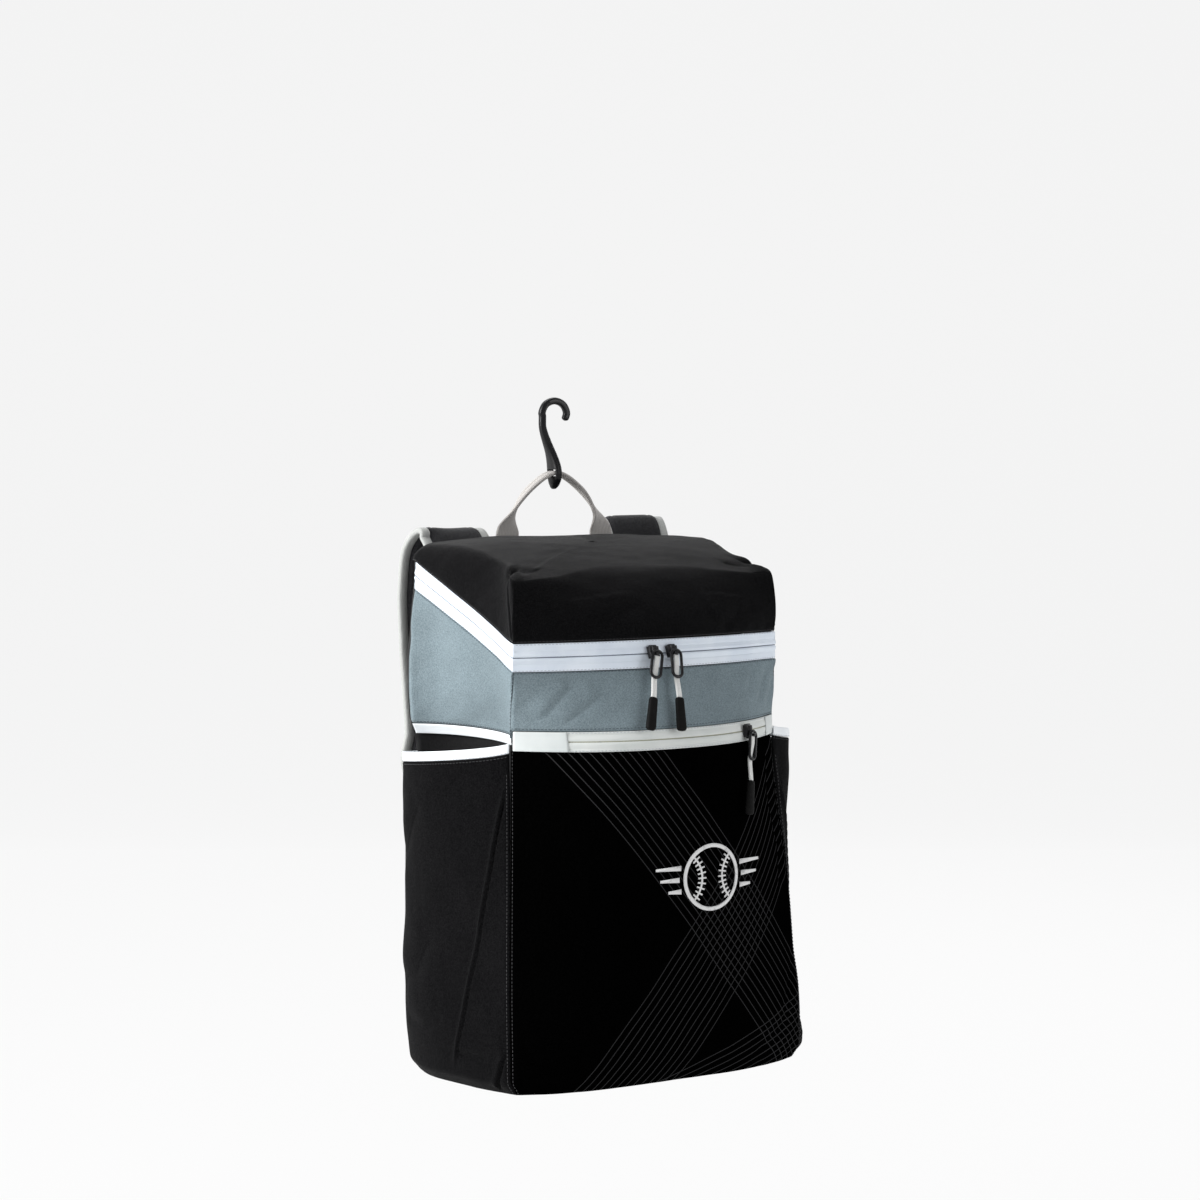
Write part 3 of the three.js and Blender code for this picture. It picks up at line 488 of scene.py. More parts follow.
def stitches(name, runs, material):
    """Thread stitches along runs of (points, normals)."""
    pitch, length, width, height = STITCH.values()
    points, faces = [], []
    for path, normal in runs:
        path, normal = np.asarray(path, float), np.asarray(normal, float)
        distance = distances(path)
        for start in np.arange(pitch / 2, distance[-1] - length, pitch):
            a, b = placed(start, distance, path), placed(start + length, distance, path)
            n = unit(placed(start + length / 2, distance, normal))
            side = np.cross(n, unit(b - a)) * width / 2
            base = len(points)
            for share, lift in ((0, -0.15), (0.25, height), (0.75, height), (1, -0.15)):
                centre = a + (b - a) * share
                points += [centre - side - n * 0.3, centre + side - n * 0.3,
                           centre + side * 0.6 + n * lift, centre - side * 0.6 + n * lift]
            for k in range(3):
                a0, b0 = base + 4 * k, base + 4 * k + 4
                faces += [(a0 + j, a0 + (j + 1) % 4, b0 + (j + 1) % 4, b0 + j) for j in range(4)]
            faces += [(base + 3, base + 2, base + 1, base), (base + 12, base + 13, base + 14, base + 15)]
    new_mesh(name, np.array(points), faces, material)


def waves(u, v, scale, seed, count=7):
    """Smooth irregular waves, about -1 to 1, the same on every run."""
    source = np.random.RandomState(seed)
    total = 0
    for _ in range(count):
        angle, turn = source.uniform(0, math.pi), source.uniform(0, 2 * math.pi)
        k = 2 * math.pi / (scale * source.uniform(0.7, 1.6))
        total = total + np.sin(k * (u * math.cos(angle) + v * math.sin(angle)) + turn)
    return total / math.sqrt(count) / 1.4


def fold(u, v, line, width, depth, lip=0.0):
    """A sewn or pressed line: a groove along a polyline, with a raised lip on its left side."""
    best = np.full(np.shape(u), 1e9)
    side = np.zeros(np.shape(u))
    fade = np.zeros(np.shape(u))
    line = np.asarray(line, float)
    total = sum(np.linalg.norm(b - a) for a, b in zip(line, line[1:]))
    done = 0.0
    for a, b in zip(line, line[1:]):
        d = b - a
        length = np.linalg.norm(d)
        t = np.clip(((u - a[0]) * d[0] + (v - a[1]) * d[1]) / length ** 2, 0, 1)
        du, dv = u - a[0] - t * d[0], v - a[1] - t * d[1]
        distance = np.hypot(du, dv)
        closer = distance < best
        best = np.where(closer, distance, best)
        side = np.where(closer, np.sign(d[0] * dv - d[1] * du), side)
        fade = np.where(closer, (done + t * length) / total, fade)
        done += length
    groove = -depth * bell(best, width)
    raised = lip * np.where(side > 0, 1.0, 0.15) * bell(best - 1.6 * width, 2.6 * width)
    return (groove + raised) * smooth_step(8 * fade) * smooth_step(8 * (1 - fade))


def folds(u, v, rows):
    """The lift of a table of folds: line, groove width, groove depth and lip height."""
    return sum(fold(u, v, line, width, depth, lip) for line, width, depth, lip in rows)


# Materials
def srgb(hexa):
    """A colour from its hexadecimal form."""
    channels = [int(hexa[k:k + 2], 16) / 255 for k in (0, 2, 4)]
    return [c / 12.92 if c < 0.04045 else ((c + 0.055) / 1.055) ** 2.4 for c in channels] + [1.0]


SOCKETS = {"roughness": "Roughness", "metallic": "Metallic", "specular": "Specular IOR Level",
           "sheen_weight": "Sheen Weight", "sheen_roughness": "Sheen Roughness"}


class Nodes:
    """A short way to build a material's node tree."""

    def __init__(self, name):
        self.material = bpy.data.materials.new(name)
        self.material.use_nodes = True
        self.tree = self.material.node_tree
        self.shader = self.tree.nodes["Principled BSDF"]

    def add(self, kind, inputs=(), **settings):
        node = self.tree.nodes.new(kind)
        for key, value in settings.items():
            setattr(node, key, value)
        for key, value in dict(inputs).items():
            self.put(node.inputs[key], value)
        return node

    def put(self, socket, value):
        if isinstance(value, bpy.types.NodeSocket):
            self.tree.links.new(value, socket)
        else:
            socket.default_value = value

    def maths(self, operation, a, b=0.0, c=0.0):
        return self.add("ShaderNodeMath", {0: a, 1: b, 2: c}, operation=operation).outputs[0]

    def uv(self):
        return self.add("ShaderNodeTexCoord").outputs["UV"]

    def place(self):
        return self.add("ShaderNodeTexCoord").outputs["Object"]

    def noise(self, vector, scale, detail=3.0, roughness=0.55):
        inputs = {"Vector": vector, "Scale": scale, "Detail": detail, "Roughness": roughness}
        return self.add("ShaderNodeTexNoise", inputs).outputs["Fac"]

    def ramp(self, factor, stops):
        node = self.add("ShaderNodeValToRGB", {"Fac": factor})
        while len(node.color_ramp.elements) < len(stops):
            node.color_ramp.elements.new(0.5)
        for element, (place, color) in zip(node.color_ramp.elements, stops):
            element.position, element.color = place, color
        return node.outputs["Color"]

    def blend(self, factor, a, b, mode="MIX"):
        node = self.add("ShaderNodeMix", data_type="RGBA", blend_type=mode)
        self.put(node.inputs[0], factor)
        self.put(node.inputs[6], a)
        self.put(node.inputs[7], b)
        return node.outputs[2]

    def bump(self, height, distance, strength=1.0, normal=None):
        inputs = {"Height": height, "Distance": distance, "Strength": strength}
        if normal is not None:
            inputs["Normal"] = normal
        return self.add("ShaderNodeBump", inputs).outputs["Normal"]

    def threads(self, vector, pitch):
        """Plain weave: warp and weft threads that pass over each other."""
        parts = self.add("ShaderNodeSeparateXYZ", {0: vector})
        u = self.maths("MULTIPLY", parts.outputs[0], math.pi / pitch)
        v = self.maths("MULTIPLY", parts.outputs[1], math.pi / pitch)
        warp = self.maths("ABSOLUTE", self.maths("SINE", u))
        weft = self.maths("ABSOLUTE", self.maths("SINE", v))
        checker = self.add("ShaderNodeTexChecker", {"Vector": vector, "Scale": 1 / pitch,
                                                    "Color1": (0, 0, 0, 1), "Color2": (1, 1, 1, 1)})
        return self.blend(checker.outputs["Fac"], warp, weft)

    def ribs(self, vector, pitch, axis):
        parts = self.add("ShaderNodeSeparateXYZ", {0: vector})
        turned = self.maths("MULTIPLY", parts.outputs[axis], math.pi / pitch)
        return self.maths("ABSOLUTE", self.maths("SINE", turned))

    def done(self, **constants):
        for key, value in constants.items():
            self.shader.inputs[SOCKETS[key]].default_value = value
        return self.material


def polyester(name, dark, light, pitch=0.0009, grain=900.0, sheen=0.12, shine=0.08, print_of=None):
    """Woven polyester: crossing threads with painted shade in the gaps between them, a fine speckle of
    lighter yarns and slow changes of tone.
    """
    n = Nodes(name)
    uv, place = n.uv(), n.place()
    threads = n.threads(uv, pitch)
    speckle = n.ramp(n.noise(place, grain, 2.0, 0.7), [(0.36, (0, 0, 0, 1)), (0.68, (1, 1, 1, 1))])
    tone = n.ramp(n.noise(place, 14.0, 3.0), [(0.3, (0.86, 0.86, 0.86, 1)), (0.75, (1.1, 1.1, 1.1, 1))])
    color = n.blend(speckle, srgb(dark), srgb(light))
    # Darker in the gaps between threads: painted shade.
    color = n.blend(0.3, color, n.blend(1.0, color, threads, "MULTIPLY"))
    color = n.blend(1.0, color, tone, "MULTIPLY")
    if print_of is not None:
        color = print_of(n, place, color)
    n.put(n.shader.inputs["Base Color"], color)
    n.put(n.shader.inputs["Roughness"], n.maths("MULTIPLY_ADD", speckle, -0.12, 0.88))
    weave = n.bump(threads, 0.00022, 0.55)
    n.put(n.shader.inputs["Normal"], n.bump(n.noise(place, 260.0, 3.0), 0.00035, 0.5, weave))
    return n.done(sheen_weight=sheen, sheen_roughness=0.45, specular=shine)


def tape_cloth(name, dark, light, pitch=0.0007, axis=1):
    """Zip tape and binding: a close rib with a soft shine, and painted shade between the ribs."""
    n = Nodes(name)
    uv, place = n.uv(), n.place()
    ribs = n.ribs(uv, pitch, axis)
    tone = n.ramp(n.noise(place, 30.0, 3.0), [(0.3, srgb(dark)), (0.7, srgb(light))])
    # Darker between the ribs: painted shade.
    color = n.blend(0.14, tone, n.blend(1.0, tone, ribs, "MULTIPLY"))
    n.put(n.shader.inputs["Base Color"], color)
    n.put(n.shader.inputs["Roughness"], n.maths("MULTIPLY_ADD", n.noise(place, 500.0), 0.2, 0.5))
    n.put(n.shader.inputs["Normal"], n.bump(ribs, 0.00018, 0.5))
    return n.done(sheen_weight=0.1)


def webbing_cloth(name, dark, light, rib=0.0016, cross=0.0011):
    """Webbing: ribs along its length, crossed by fine weft, with fuzz that breaks up the light, and painted
    shade in the grooves between the ribs.
    """
    n = Nodes(name)
    uv, place = n.uv(), n.place()
    ribs = n.ribs(uv, rib, 0)
    weft = n.ribs(uv, cross, 1)
    height = n.maths("MULTIPLY_ADD", weft, 0.45, ribs)
    fuzz = n.noise(place, 1100.0, 2.0, 0.7)
    # Darker in the grooves between the ribs: painted shade. The fuzz is random tone.
    color = n.ramp(n.maths("MULTIPLY_ADD", ribs, 0.45, n.maths("MULTIPLY", fuzz, 0.6)),
                   [(0.15, srgb(dark)), (0.85, srgb(light))])
    n.put(n.shader.inputs["Base Color"], color)
    n.put(n.shader.inputs["Normal"], n.bump(height, 0.0003, 0.8))
    return n.done(roughness=0.82, sheen_weight=0.15)


def spacer_mesh(name, dark, light):
    """Spacer mesh: small round holes in a knitted face, with painted shade inside the holes."""
    n = Nodes(name)
    place = n.place()
    cells = n.add("ShaderNodeTexVoronoi", {"Vector": place, "Scale": 420.0, "Randomness": 0.25})
    # The holes' mask darkens the colour in them: painted shade in the holes. It also drives the bump.
    holes = n.ramp(cells.outputs["Distance"], [(0.22, (0, 0, 0, 1)), (0.42, (1, 1, 1, 1))])
    n.put(n.shader.inputs["Base Color"], n.blend(holes, srgb(dark), srgb(light)))
    n.put(n.shader.inputs["Normal"], n.bump(holes, 0.0005, 0.8))
    return n.done(roughness=0.92, sheen_weight=0.2)


def moulded(name, color, roughness=0.3, grain=900.0, wear="3a3a3c", shine=0.5):
    """Moulded plastic: a fine even texture, slight flow marks and worn, lighter high spots."""
    n = Nodes(name)
    place = n.place()
    marks = n.noise(place, 60.0, 4.0)
    tone = n.ramp(n.noise(place, 190.0, 4.0, 0.7), [(0.55, srgb(color)), (0.9, srgb(wear))])
    n.put(n.shader.inputs["Base Color"], tone)
    n.put(n.shader.inputs["Roughness"], n.maths("MULTIPLY_ADD", marks, 0.16, roughness - 0.06))
    n.put(n.shader.inputs["Normal"], n.bump(n.noise(place, grain, 2.0), 0.00006, 0.5))
    return n.done(specular=shine)


def black_metal(name):
    """Black coated metal, worn lighter on high spots."""
    n = Nodes(name)
    place = n.place()
    wear = n.ramp(n.noise(place, 420.0, 4.0, 0.7), [(0.56, srgb("161618")), (0.92, srgb("5a5a5c"))])
    n.put(n.shader.inputs["Base Color"], wear)
    n.put(n.shader.inputs["Roughness"], n.maths("MULTIPLY_ADD", n.noise(place, 240.0), 0.2, 0.24))
    return n.done(metallic=0.55)


def thread(name, color):
    """Sewing thread."""
    n = Nodes(name)
    place = n.place()
    tone = n.ramp(n.noise(place, 1400.0, 2.0), [(0.3, [c * 0.75 for c in srgb(color)]), (0.7, srgb(color))])
    n.put(n.shader.inputs["Base Color"], tone)
    return n.done(roughness=0.7)


# Printed lines on the pocket, bands of parallel lines: the slant in degrees, how far the band's middle line
# lies from the pocket's middle, in metres, the lines on each side of it and their spacing, in metres too
PRINT_BANDS = (
    {"slant": 52, "shift": -0.052, "lines": 6, "spacing": 0.0062},
    {"slant": -52, "shift": 0.040, "lines": 6, "spacing": 0.0062},
    {"slant": 20, "shift": -0.155, "lines": 4, "spacing": 0.0062},
)
PRINT_LINE = 0.00075
PRINT_MIDDLE = LAYOUT[2] + 0.5 * POCKET_HEIGHT / 1000


def line_print(n, place, color):
    """Thin dark-grey lines printed across the pocket."""
    parts = n.add("ShaderNodeSeparateXYZ", {0: place})
    x, z = parts.outputs[0], n.maths("SUBTRACT", parts.outputs[2], float(PRINT_MIDDLE))
    total = None
    for band in PRINT_BANDS:
        angle = math.radians(band["slant"])
        across = n.maths("MULTIPLY_ADD", x, -math.sin(angle), n.maths("MULTIPLY", z, math.cos(angle)))
        across = n.maths("SUBTRACT", across, band["shift"])
        cell = n.maths("PINGPONG", across, band["spacing"] / 2)
        line = n.maths("LESS_THAN", cell, PRINT_LINE / 2)
        reach = (band["lines"] + 0.5) * band["spacing"]
        inside = n.maths("LESS_THAN", n.maths("ABSOLUTE", across), reach)
        both = n.maths("MULTIPLY", line, inside)
        total = both if total is None else n.maths("MAXIMUM", total, both)
    return n.blend(n.maths("MULTIPLY", total, 0.8), color, srgb("343435"))


MATERIALS = {
    "black": polyester("black_polyester", "040405", "151516", sheen=0.07, shine=0.02),
    "side": polyester("black_side", "050506", "171718", sheen=0.03, shine=0.02),
    # The pocket's black is darker than the other black cloth, with no sheen or shine: its darkness is painted
    # shade for the bag's front, which faces away from the key lamp.
    "pocket": polyester("black_pocket_painted_shade", "010101", "040404", pitch=0.0007, sheen=0.0, shine=0.0,
                        print_of=line_print),
    "inside": polyester("black_lining", "0c0c0d", "1a1a1b"),
    "grey": polyester("grey_polyester", "6e7d83", "8a989e", pitch=0.0008, sheen=0.1),
    "tape": tape_cloth("cool_white_tape", "d6e0ec", "e8f0f8"),
    "pocket_tape": tape_cloth("warm_white_tape", "cdd2cf", "dcdfdc"),
    "tab": tape_cloth("warm_white_tab", "c9cfce", "d6dbda", pitch=0.0004),
    "binding": tape_cloth("white_binding", "e4eaee", "f4f7f9", pitch=0.0009),
    "strap": polyester("strap_polyester", "1c1c1e", "39393b"),
    "mesh": spacer_mesh("black_mesh", "060607", "1f1f21"),
    "strap_edge": webbing_cloth("grey_edge", "7d7e7c", "bfc1be", rib=0.0011),
    "webbing": webbing_cloth("black_webbing", "0a0a0b", "222224"),
    "handle": webbing_cloth("grey_webbing", "85827f", "bab6b2"),
    "cord": webbing_cloth("white_cord", "c4c6c5", "f1f1ee", rib=0.0007, cross=0.0008),
    "plastic": moulded("black_plastic", "0b0b0c"),
    "hook": moulded("hook_plastic", "08080a", 0.36, wear="202021", shine=0.3),
    "tip": moulded("black_tip", "030303", 0.7, wear="121213", shine=0.15),
    "metal": black_metal("black_metal"),
    "coil": moulded("coil", "6f7785", 0.4),
    "pocket_coil": moulded("pocket_coil", "a8a892", 0.4),
    "grey_thread": thread("grey_thread", "39424a"),
    "dark_thread": thread("dark_thread", "38383a"),
    "pale_thread": thread("pale_thread", "b4bac2"),
    "white_print": moulded("white_print", "d8d8d8", 0.55),
}


# Zip pulls, laid out at the slider with outward along -Y
PULLS = (
    {"name": "1", "across": -0.055, "roll": 18, "zip": BAND_TOP + TOP_ZIP_HEIGHT / 2},
    {"name": "2", "across": 0.085, "roll": 9, "zip": BAND_TOP + TOP_ZIP_HEIGHT / 2},
    {"name": "3", "across": 0.6, "roll": 13, "zip": POCKET_HEIGHT + POCKET_ZIP_HEIGHT / 2},
)
SLIDER = np.array([11.0, 5.0, 13.0])
LOOP_LENGTH, LOOP_WIDTH, LOOP_WIRE = 27.0, 12.0, 2.6
CORD_LENGTH, TIP_LENGTH, TIP_WIDTH = 17.0, 29.0, 9.0
LOOP_TOP = 1.0
STRAND, CORD_SIZE = 2.7, 4.2


def front_at(x, z):
    """The point of the bag's front at x and z."""
    half = float(section("width", z)) * BODY_WIDTH / 2
    seam_y = BACK_PLANE - float(section("depth", z)) * BODY_DEPTH
    swell = float(section("swell", z)) * FRONT_SWELL
    return np.array([x, seam_y - swell * (1 - abs(x / half) ** float(section("crown", z))), z])


def pull_place(pull):
    """The pull's matrices in the layout, fixed and hanging, and where its loop and slider stand out to."""
    z = pull["zip"]
    seat = front_at(pull["across"] * float(section("width", z)) * BODY_WIDTH / 2, z)
    beside = front_at(seat[0] + 1, z)
    turn = math.atan2(beside[1] - seat[1], 1)
    outward = np.array([math.sin(turn), -math.cos(turn), 0])
    length = LOOP_LENGTH + CORD_LENGTH + TIP_LENGTH
    foot = (front_at(seat[0], z - length) - seat).dot(outward)
    lean = math.atan2(foot, length)

    def stand_off(x, height):
        offset = front_at(x, height) - seat
        return offset.dot(outward) * math.cos(lean) + offset[2] * math.sin(lean)

    fixed = Matrix.Translation(Vector(seat)) @ Matrix.Rotation(turn, 4, "Z") @ Matrix.Rotation(-lean, 4, "X")
    pivot = Vector((0, 0, LOOP_TOP - LOOP_WIRE / 2 - (LOOP_WIDTH - LOOP_WIRE) / 2))
    swing = Matrix.Rotation(math.radians(pull["roll"]), 4, "Y")
    hanging = fixed @ Matrix.Translation(pivot) @ swing @ Matrix.Translation(-pivot)
    corners = [stand_off(seat[0] + u * SLIDER[0] / 2, z + v * SLIDER[2] / 2)
               for u in (-1, 1) for v in (-1, 1)]
    slider_y = -max(corners) - 2 * CLEARANCE - SLIDER[1]
    swell = max(stand_off(seat[0], z - length * k / 8) for k in range(2, 9))
    loop_y = min(slider_y - CLEARANCE - LOOP_WIRE / 2, -swell - 1 - TIP_WIDTH / 3)
    return fixed, hanging, slider_y, loop_y


def moved(matrix, points):
    """Points carried over by a matrix."""
    flat = np.asarray(points, float).reshape(-1, 3)
    turned = flat @ np.array(matrix.to_3x3()).T + np.array(matrix.translation)
    return turned.reshape(np.shape(points))


def pull_cord(pull):
    """The doubled cord from the slider's bail down to the tip, and the moulded tip on its end."""
    _, hanging, _, loop_y = pull_place(pull)
    name = pull["name"]
    top = LOOP_TOP - LOOP_WIRE - 3.4
    foot = LOOP_TOP - LOOP_LENGTH - CLEARANCE - CORD_LENGTH
    behind = loop_y + LOOP_WIRE / 2 + 0.95
    route = [(0.2, loop_y + 0.6, top), (0, loop_y + 0.5, top - 6), (0.1, behind - 0.6, top - 13),
             (0.1, behind, LOOP_TOP - LOOP_LENGTH + 1.2), (0.3, behind - 0.8, foot + 10),
             (0.3, loop_y + 0.6, foot + 4), (0, loop_y, foot)]
    path = moved(hanging, spline(route, 40))
    side = moved(hanging, [(1, 0, 0)])[0] - moved(hanging, [(0, 0, 0)])[0]
    angles = np.linspace(0, 2 * math.pi, 20, endpoint=False)
    strand = STRAND / 2
    outline = [(math.copysign(strand, math.cos(a)) * (abs(math.cos(a)) ** 0.4 + abs(math.cos(a))) * 0.97,
                strand * math.sin(a) * (0.62 + 0.42 * abs(math.sin(2 * a)))) for a in angles]
    rings = sweep(path, lambda t: outline, lambda t: side)
    cord = lofted(f"cord_{name}", rings, MATERIALS["cord"], [f"pull_cord_{name}"])
    tip = pull_tip(pull, hanging, loop_y, foot)


# Rows of the moulded tip: share of the length down and share of the full width
TIP_ROWS = ((-0.02, 0.5), (0.0, 0.74), (0.03, 0.84), (0.1, 0.88), (0.3, 0.9), (0.5, 0.93), (0.75, 0.98),
            (0.88, 1.0), (0.95, 0.95), (0.985, 0.75), (1.0, 0.4))


def pull_tip(pull, hanging, loop_y, foot):
    """The moulded tip, with ribs for grip."""
    name = pull["name"]
    shares = np.array(TIP_ROWS)
    downs = np.concatenate([shares[:3, 0], np.linspace(0.06, 0.94, 30), shares[-3:, 0]])
    rings = []
    for down in downs:
        size = float(np.interp(down, shares[:, 0], shares[:, 1]))
        grip = 0.06 * (math.cos(down * 2 * math.pi * 7) if 0.3 < down < 0.82 else 0)
        outline = superellipse(TIP_WIDTH / 2 * size, TIP_WIDTH / 3 * size * (1 - grip), 2.6, 24)
        z = foot - 2 * CLEARANCE - down * TIP_LENGTH
        rings.append([(u, loop_y + v, z) for u, v in outline])
    rings = moved(hanging, np.array(rings))
    return lofted(f"tip_{name}", rings, MATERIALS["tip"], [f"pull_tip_{name}"])


def joined_box(centre, size, taper=1.0):
    """Corners and faces of a box, its outer face along -Y narrowed by a taper."""
    points = []
    for v in (-1, 1):
        for w in (-1, 1):
            for u in (-1, 1):
                k = taper if v < 0 else 1.0
                points.append([centre[0] + u * k * size[0] / 2, centre[1] + v * size[1] / 2,
                               centre[2] + w * k * size[2] / 2])
    faces = [(0, 1, 3, 2), (4, 6, 7, 5), (0, 4, 5, 1), (2, 3, 7, 6), (0, 2, 6, 4), (1, 5, 7, 3)]
    return points, faces


def fused(name, boxes, material, node, voxel, softening, place=None):
    """Overlapping boxes fused into one piece with soft edges, as a casting or moulding has."""
    points, faces = [], []
    for box_points, box_faces in boxes:
        faces += [tuple(len(points) + v for v in face) for face in box_faces]
        points += box_points
    piece = new_mesh(name, points if place is None else moved(place, points), faces, material)
    modified(piece, "REMESH", mode="VOXEL", voxel_size=voxel, use_smooth_shade=True)
    modified(piece, "SMOOTH", factor=0.6, iterations=softening)
    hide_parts(node)


def pull_hardware(pull):
    """The wire loop and the cast slider with its bail."""
    fixed, hanging, slider_y, loop_y = pull_place(pull)
    name = pull["name"]
    w = (LOOP_WIDTH - LOOP_WIRE) / 2
    straight = (LOOP_LENGTH - LOOP_WIRE) / 2 - w
    angles = np.linspace(0, 2 * math.pi, 56, endpoint=False) + 0.01
    centre = np.array([[w * math.cos(a), loop_y,
                        LOOP_TOP - LOOP_LENGTH / 2 + w * math.sin(a) + math.copysign(straight, math.sin(a))]
                       for a in angles])
    rings = []
    for k, point in enumerate(centre):
        tangent = unit(centre[(k + 1) % len(centre)] - centre[k - 1])
        out = np.array([0.0, 1.0, 0.0])
        across = np.cross(tangent, out)
        rings.append([point + across * LOOP_WIRE / 2 * math.cos(b) + out * LOOP_WIRE / 2 * math.sin(b)
                      for b in np.linspace(0, 2 * math.pi, 14, endpoint=False)])
    rings = moved(hanging, np.array(rings))
    lofted(f"loop_{name}", rings, MATERIALS["metal"], [f"pull_loop_{name}"],
           caps=False, closed_path=True)

    y = slider_y + SLIDER[1] / 2
    depth = slider_y - loop_y + LOOP_WIRE / 2 + 1
    bail_z = LOOP_TOP - LOOP_WIRE - 2 * CLEARANCE - 1.3
    boxes = [
        joined_box((0, y + 0.6, 0), (SLIDER[0], SLIDER[1] - 1.2, SLIDER[2] - 2), 0.82),
        joined_box((0, y + 1.0, 4.6), (SLIDER[0] - 3.5, SLIDER[1] - 2.6, 3.4), 0.9),
        joined_box((0, y - 0.4, -5.2), (SLIDER[0] - 5, SLIDER[1] - 1.6, 2.6), 0.9),
        joined_box((0, slider_y + 1 - (depth + 1) / 2, bail_z), (3.0, depth + 1, 2.6)),
        joined_box((0, y - 1.2, 1.5), (4.4, SLIDER[1] - 2.0, 7.5), 0.85),
    ]
    fused(f"slider_{name}", boxes, MATERIALS["metal"], f"zip_slider_{name}", 0.00034, 4, fixed)


for pull in PULLS:
    pull_cord(pull)
for pull in PULLS:
    pull_hardware(pull)


# Cloth walls of the body
def ring_grid(shape, stations, levels, outset=0.0):
    """A grid over the bag: stations round it, levels as functions of the station."""
    rows = []
    ds = 1e-3
    low, high = stations[0], stations[-1]
    for level in levels:
        z = level(stations) + 0 * stations
        point = ring_point(shape, stations, z)
        if outset:
            a = ring_point(shape, np.maximum(stations - ds, low), z)
            b = ring_point(shape, np.minimum(stations + ds, high), z)
            tangent = b - a
            point = point + unit(np.stack([tangent[:, 1], -tangent[:, 0], 0 * z], axis=-1)) * outset
        rows.append(point)
    return np.array(rows)


def wall_grid(shape, stations, bottom, top, count, height, edge=2.4, outset=0.0):
    """A grid between two levels, heights or functions of the station, with its rows close at the rims."""
    low, high = (level if callable(level) else lambda s, z=level: z + 0 * s for level in (bottom, top))
    rows = [lambda s, share=share: mix(low(s), high(s), share) for share in edged(count, height, edge)]
    return ring_grid(shape, stations, rows, outset)


def spread(*spans):
    """Stations in spans of (start, end, count), each without its end."""
    return np.concatenate([np.linspace(start, end, count, endpoint=False) for start, end, count in spans])


def side_stations(side, count):
    """Stations along one side, close together at both seams."""
    t = edged(count, 190.0) * (1 - 2 * SEAM_GAP) + SEAM_GAP
    return SIDE_LEFT + t if side == "left" else SEAM_RIGHT + t


def front_stations(count):
    """Stations along the front, close together at both seams."""
    return mix(SEAM_LEFT + SEAM_GAP, SEAM_RIGHT - SEAM_GAP, edged(count, 300.0))


def wrap_stations():
    """From the left back corner over the front to the right one, close together at the front seams."""
    left = SIDE_LEFT + np.linspace(SEAM_GAP, 0.985, 40)
    seam = SEAM_LEFT + np.array([-0.008, -0.004, 0.0, 0.004, 0.01, 0.02])
    middle = np.linspace(SEAM_LEFT + 0.035, SEAM_RIGHT - 0.035, 90)
    half = np.concatenate([left, seam])
    return np.concatenate([half, middle, 8 - half[::-1]])


def nearest(stations, place):
    """Index of the station nearest to a place on the ring."""
    return int(np.argmin(np.abs(stations - place)))


def seam_groove(grid, stations, depth=1.1, width=1.6):
    """A pressed seam where the side meets the front."""
    lift = np.zeros(grid.shape[:2])
    for seam in (SEAM_LEFT, SEAM_RIGHT):
        k = nearest(stations, seam)
        distance = np.linalg.norm(grid - grid[:, k:k + 1], axis=-1)
        lift -= depth * bell(distance, width)
        lift += 0.35 * depth * bell(distance - 3.2, 2.0)
    return lift


def compartment():
    """The main compartment's wall, seen through the open sleeves."""
    stations = spread((0, 2, 22), (2, 3, 30), (3, 5, 70), (5, 6, 30), (6, 8, 22))

    def rim(s):
        return np.where(mirrored(s) >= SIDE_LEFT, zip_low(s), BACK_RIM) - CLEARANCE

    grid = wall_grid("body", stations, 3 + CLEARANCE, rim, 60, 340.0, outset=-(CLOTH + CLEARANCE))
    lift = 0.6 * waves(grid[..., 1], grid[..., 2], 70, 3) * smooth_step(arc(grid, 0) / 20)
    front = (mirrored(stations) > SEAM_LEFT)[None, :]
    shell("compartment", grid, MATERIALS["inside"], closed=True,
          lift=np.where(front, 0, np.minimum(lift, 0.3)), nodes=["main_body"])


# Section of the base from its middle under the rim to its middle again: share of the way out, height
BASE_ROWS = ((0.0, 0.0), (0.5, 0.0), (0.9, 0.0), (1.0, 0.5), (1.0, 2.5), (0.9, 3.0), (0.5, 3.0), (0.0, 3.0))
BASE_CENTRE = np.array([0.0, -15.0])


def base():
    """The flat bottom with a rounded, bound edge."""
    stations = np.linspace(0, 8, 180, endpoint=False)
    ring = ring_point("skin", stations, 0 * stations)[:, :2]
    outward = ring - BASE_CENTRE
    outward -= unit(outward) * (CLOTH + CLEARANCE)
    rings = []
    for share, z in BASE_ROWS:
        outline = BASE_CENTRE + outward * max(share, 0.01)
        rings.append(np.concatenate([outline, np.full((len(outline), 1), z)], axis=1))
    lofted("base", np.array(rings), MATERIALS["black"], ["base_panel"])


# Creases of the pocket in the layout's x and z: line, width and depth of the groove, height of the lip
POCKET_CREASES = (
    ([(121, 286), (116, 240), (124, 190), (120, 150)], 3.0, 2.2, 1.8),
    ([(132, 282), (129, 235), (133, 180)], 2.6, 1.9, 1.4),
    ([(-140, 44), (-122, 24), (-96, 14)], 5.0, 1.8, 1.2),
    ([(138, 66), (122, 34), (84, 14)], 6.0, 2.2, 1.6),
    ([(142, 100), (128, 64), (120, 44)], 6.0, 1.6, 1.2),
)


